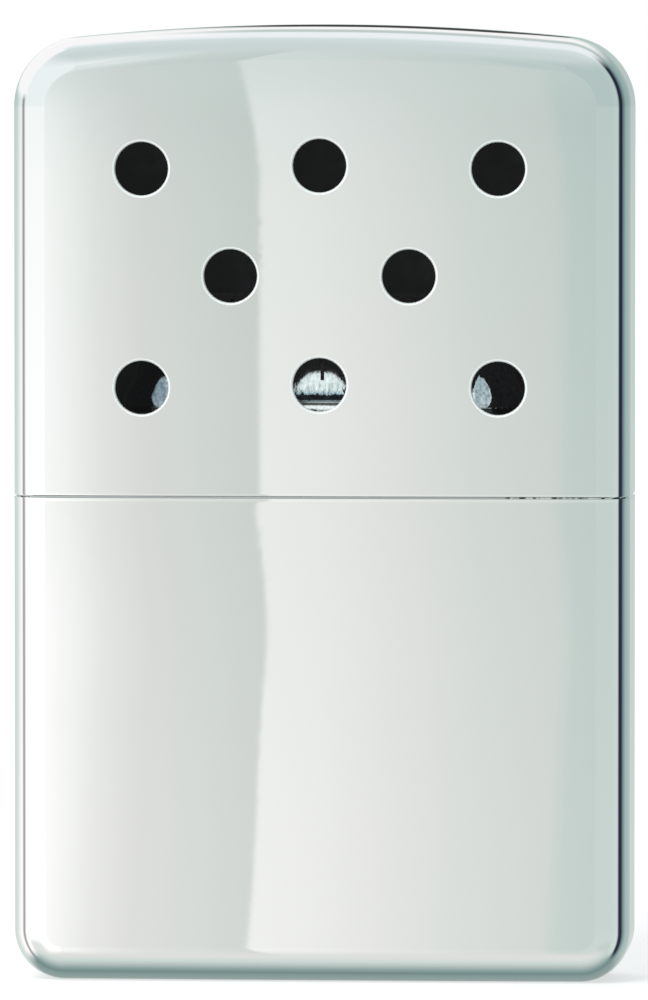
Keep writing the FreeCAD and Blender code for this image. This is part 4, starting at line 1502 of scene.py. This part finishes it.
# %% Loose fibres
FIBRE_POINTS = 7
FIBRE_SIDES = 4
FIBRE_CURL = 1.6  # radians: how far most fibres turn from end to end
FIBRE_LENGTHS = (0.6, 1.3)  # the shortest and the longest, as parts of the length asked for
FIBRE_TAPER = 0.3


def on_skin(grid, place):
    """Values of a grid between its points. The first direction goes round and round."""
    row, column = place[..., 0], np.clip(place[..., 1], 2, grid.shape[1] - 3)
    r, c = np.floor(row).astype(int), np.floor(column).astype(int)
    u, v = (row - r)[..., None], (column - c)[..., None]
    r, beside = r % len(grid), (r + 1) % len(grid)
    near = (1 - v) * grid[r, c] + v * grid[r, c + 1]
    far = (1 - v) * grid[beside, c] + v * grid[beside, c + 1]
    return (1 - u) * near + u * far


def fibres(skin, normals, count, length, thickness, loft, seed):
    """Thin tubes over a skin. A fibre starts anywhere and runs on in a direction that turns
    evenly, its height over the skin is half its thickness plus loft * sin(pi t), and its
    radius shrinks to nothing at both ends."""
    draw = np.random.default_rng(seed)
    round_size = np.linalg.norm(np.roll(skin, -1, axis=0) - skin, axis=-1) + 1e-3
    up_size = np.linalg.norm(np.gradient(skin, axis=1), axis=-1)
    area = (round_size * up_size)[:, 1:-1].ravel()
    chosen = draw.choice(len(area), count, p=area / area.sum())
    start = np.stack(np.divmod(chosen, skin.shape[1] - 2), axis=-1) + [0, 1]
    start = start + draw.random((count, 2))

    step = np.linspace(0, 1, FIBRE_POINTS)
    heading = draw.uniform(0, 2 * np.pi, count)[:, None]
    heading = heading + draw.normal(0, FIBRE_CURL, count)[:, None] * step
    stride = length * draw.uniform(*FIBRE_LENGTHS, count)[:, None] / FIBRE_POINTS
    row, column = start.astype(int).T
    size = np.stack([round_size[row, column], up_size[row, column]], axis=-1)
    move = turned_to(heading) * stride[..., None]
    place = start[:, None] + np.cumsum(move / size[:, None].clip(0.05), axis=1)

    facing = unit(on_skin(normals, place))
    over_skin = thickness / 2 + loft * draw.random(count)[:, None] * np.sin(np.pi * step)
    path = on_skin(skin, place) + over_skin[..., None] * facing
    ahead = unit(np.gradient(path, axis=1) + 1e-6)
    aside = unit(np.cross(ahead, facing))
    above = np.cross(aside, ahead)
    turn = np.linspace(0, 2 * np.pi, FIBRE_SIDES + 1)[:, None]
    ring = np.cos(turn) * aside[:, :, None] + np.sin(turn) * above[:, :, None]
    radius = thickness / 2 * (4 * step * (1 - step)) ** FIBRE_TAPER
    return patch(path[:, :, None] + radius[None, :, None, None] * ring, ring)


# %% Soft finishes
CLOUDS = (300, 300, 300)


def soft_finish(name, light, dark, scale, lift):
    """A mat of fibres: two tones in clouds and fine strands, no shine, and a raised nap."""
    made, tree, shader, place = new_finish(name)
    strands = stretched_noise(tree, place, scale, detail=6.0)
    tone = both_noises(tree, strands, stretched_noise(tree, place, CLOUDS))
    set_inputs(shader, {
        "Base Color": ramp(tree, tone, [(0.36, dark), (0.62, light)]),
        "Roughness": between(tree, strands, 0.80, 1.0), "Normal": raised(tree, strands, lift),
        "Sheen Weight": 0.25, "Sheen Roughness": 0.6,
    })
    return made


mat_fibre = soft_finish(
    "catalyst_fibre", (0.24, 0.23, 0.22), (0.08, 0.08, 0.08), (9000, 2500, 9000), 6e-5
)
felt = soft_finish("felt", (0.66, 0.64, 0.59), (0.44, 0.42, 0.38), (5000, 5000, 9000), 5e-5)
cotton = soft_finish("cotton", (0.86, 0.84, 0.79), (0.70, 0.67, 0.61), (1800, 1800, 1200), 9e-5)


# %% Making a soft piece
def soft_piece(name, node, body, finish, form, skin, fibre, seed):
    """A pillow with lumps pressed into it and fibres over it. form is the corner's radius, the
    walls' lean and how boxy it is, skin the room left for fibres, the lumps' depth and their
    wavelength, and fibre the count, length, thickness and loft."""
    low, high = node_box(node)
    corner, lean, boxy = form
    room, depth, wavelength = skin
    smooth = pillow(low + room, high - room, corner - room, lean, boxy)
    pressed = smooth - depth * lumps(smooth, wavelength, seed)[..., None] * skin_normals(smooth)
    normals = skin_normals(pressed)
    closed = np.append(np.arange(PLAN_STEPS), 0)
    piece = make_piece(
        name, [
            patch(pressed[closed], normals[closed]),
            fibres(pressed, normals, *fibre, seed + 1),
        ],
        body, [finish], node,
    )


# %% Catalyst mat
soft_piece(
    "catalyst_wadding", "catalyst_mat", "burner", mat_fibre,
    form=(3.3, CAGE_LEAN, 5.0), skin=(0.12, 0.30, 2.2), fibre=(1400, 3.5, 0.07, 0.10),
    seed=11,
)

# %% Felt pad
soft_piece(
    "felt_pad_layer", "felt_pad", "tank", felt,
    form=(2.4, 0.0, 6.0), skin=(0.10, 0.12, 3.0), fibre=(1300, 3.0, 0.06, 0.08),
    seed=23,
)

# %% Cotton
soft_piece(
    "cotton_fill", "cotton_packing", "tank", cotton,
    form=(2.4, 0.0, 6.0), skin=(0.20, 0.9, 7.0), fibre=(1800, 9.0, 0.10, 0.25),
    seed=37,
)
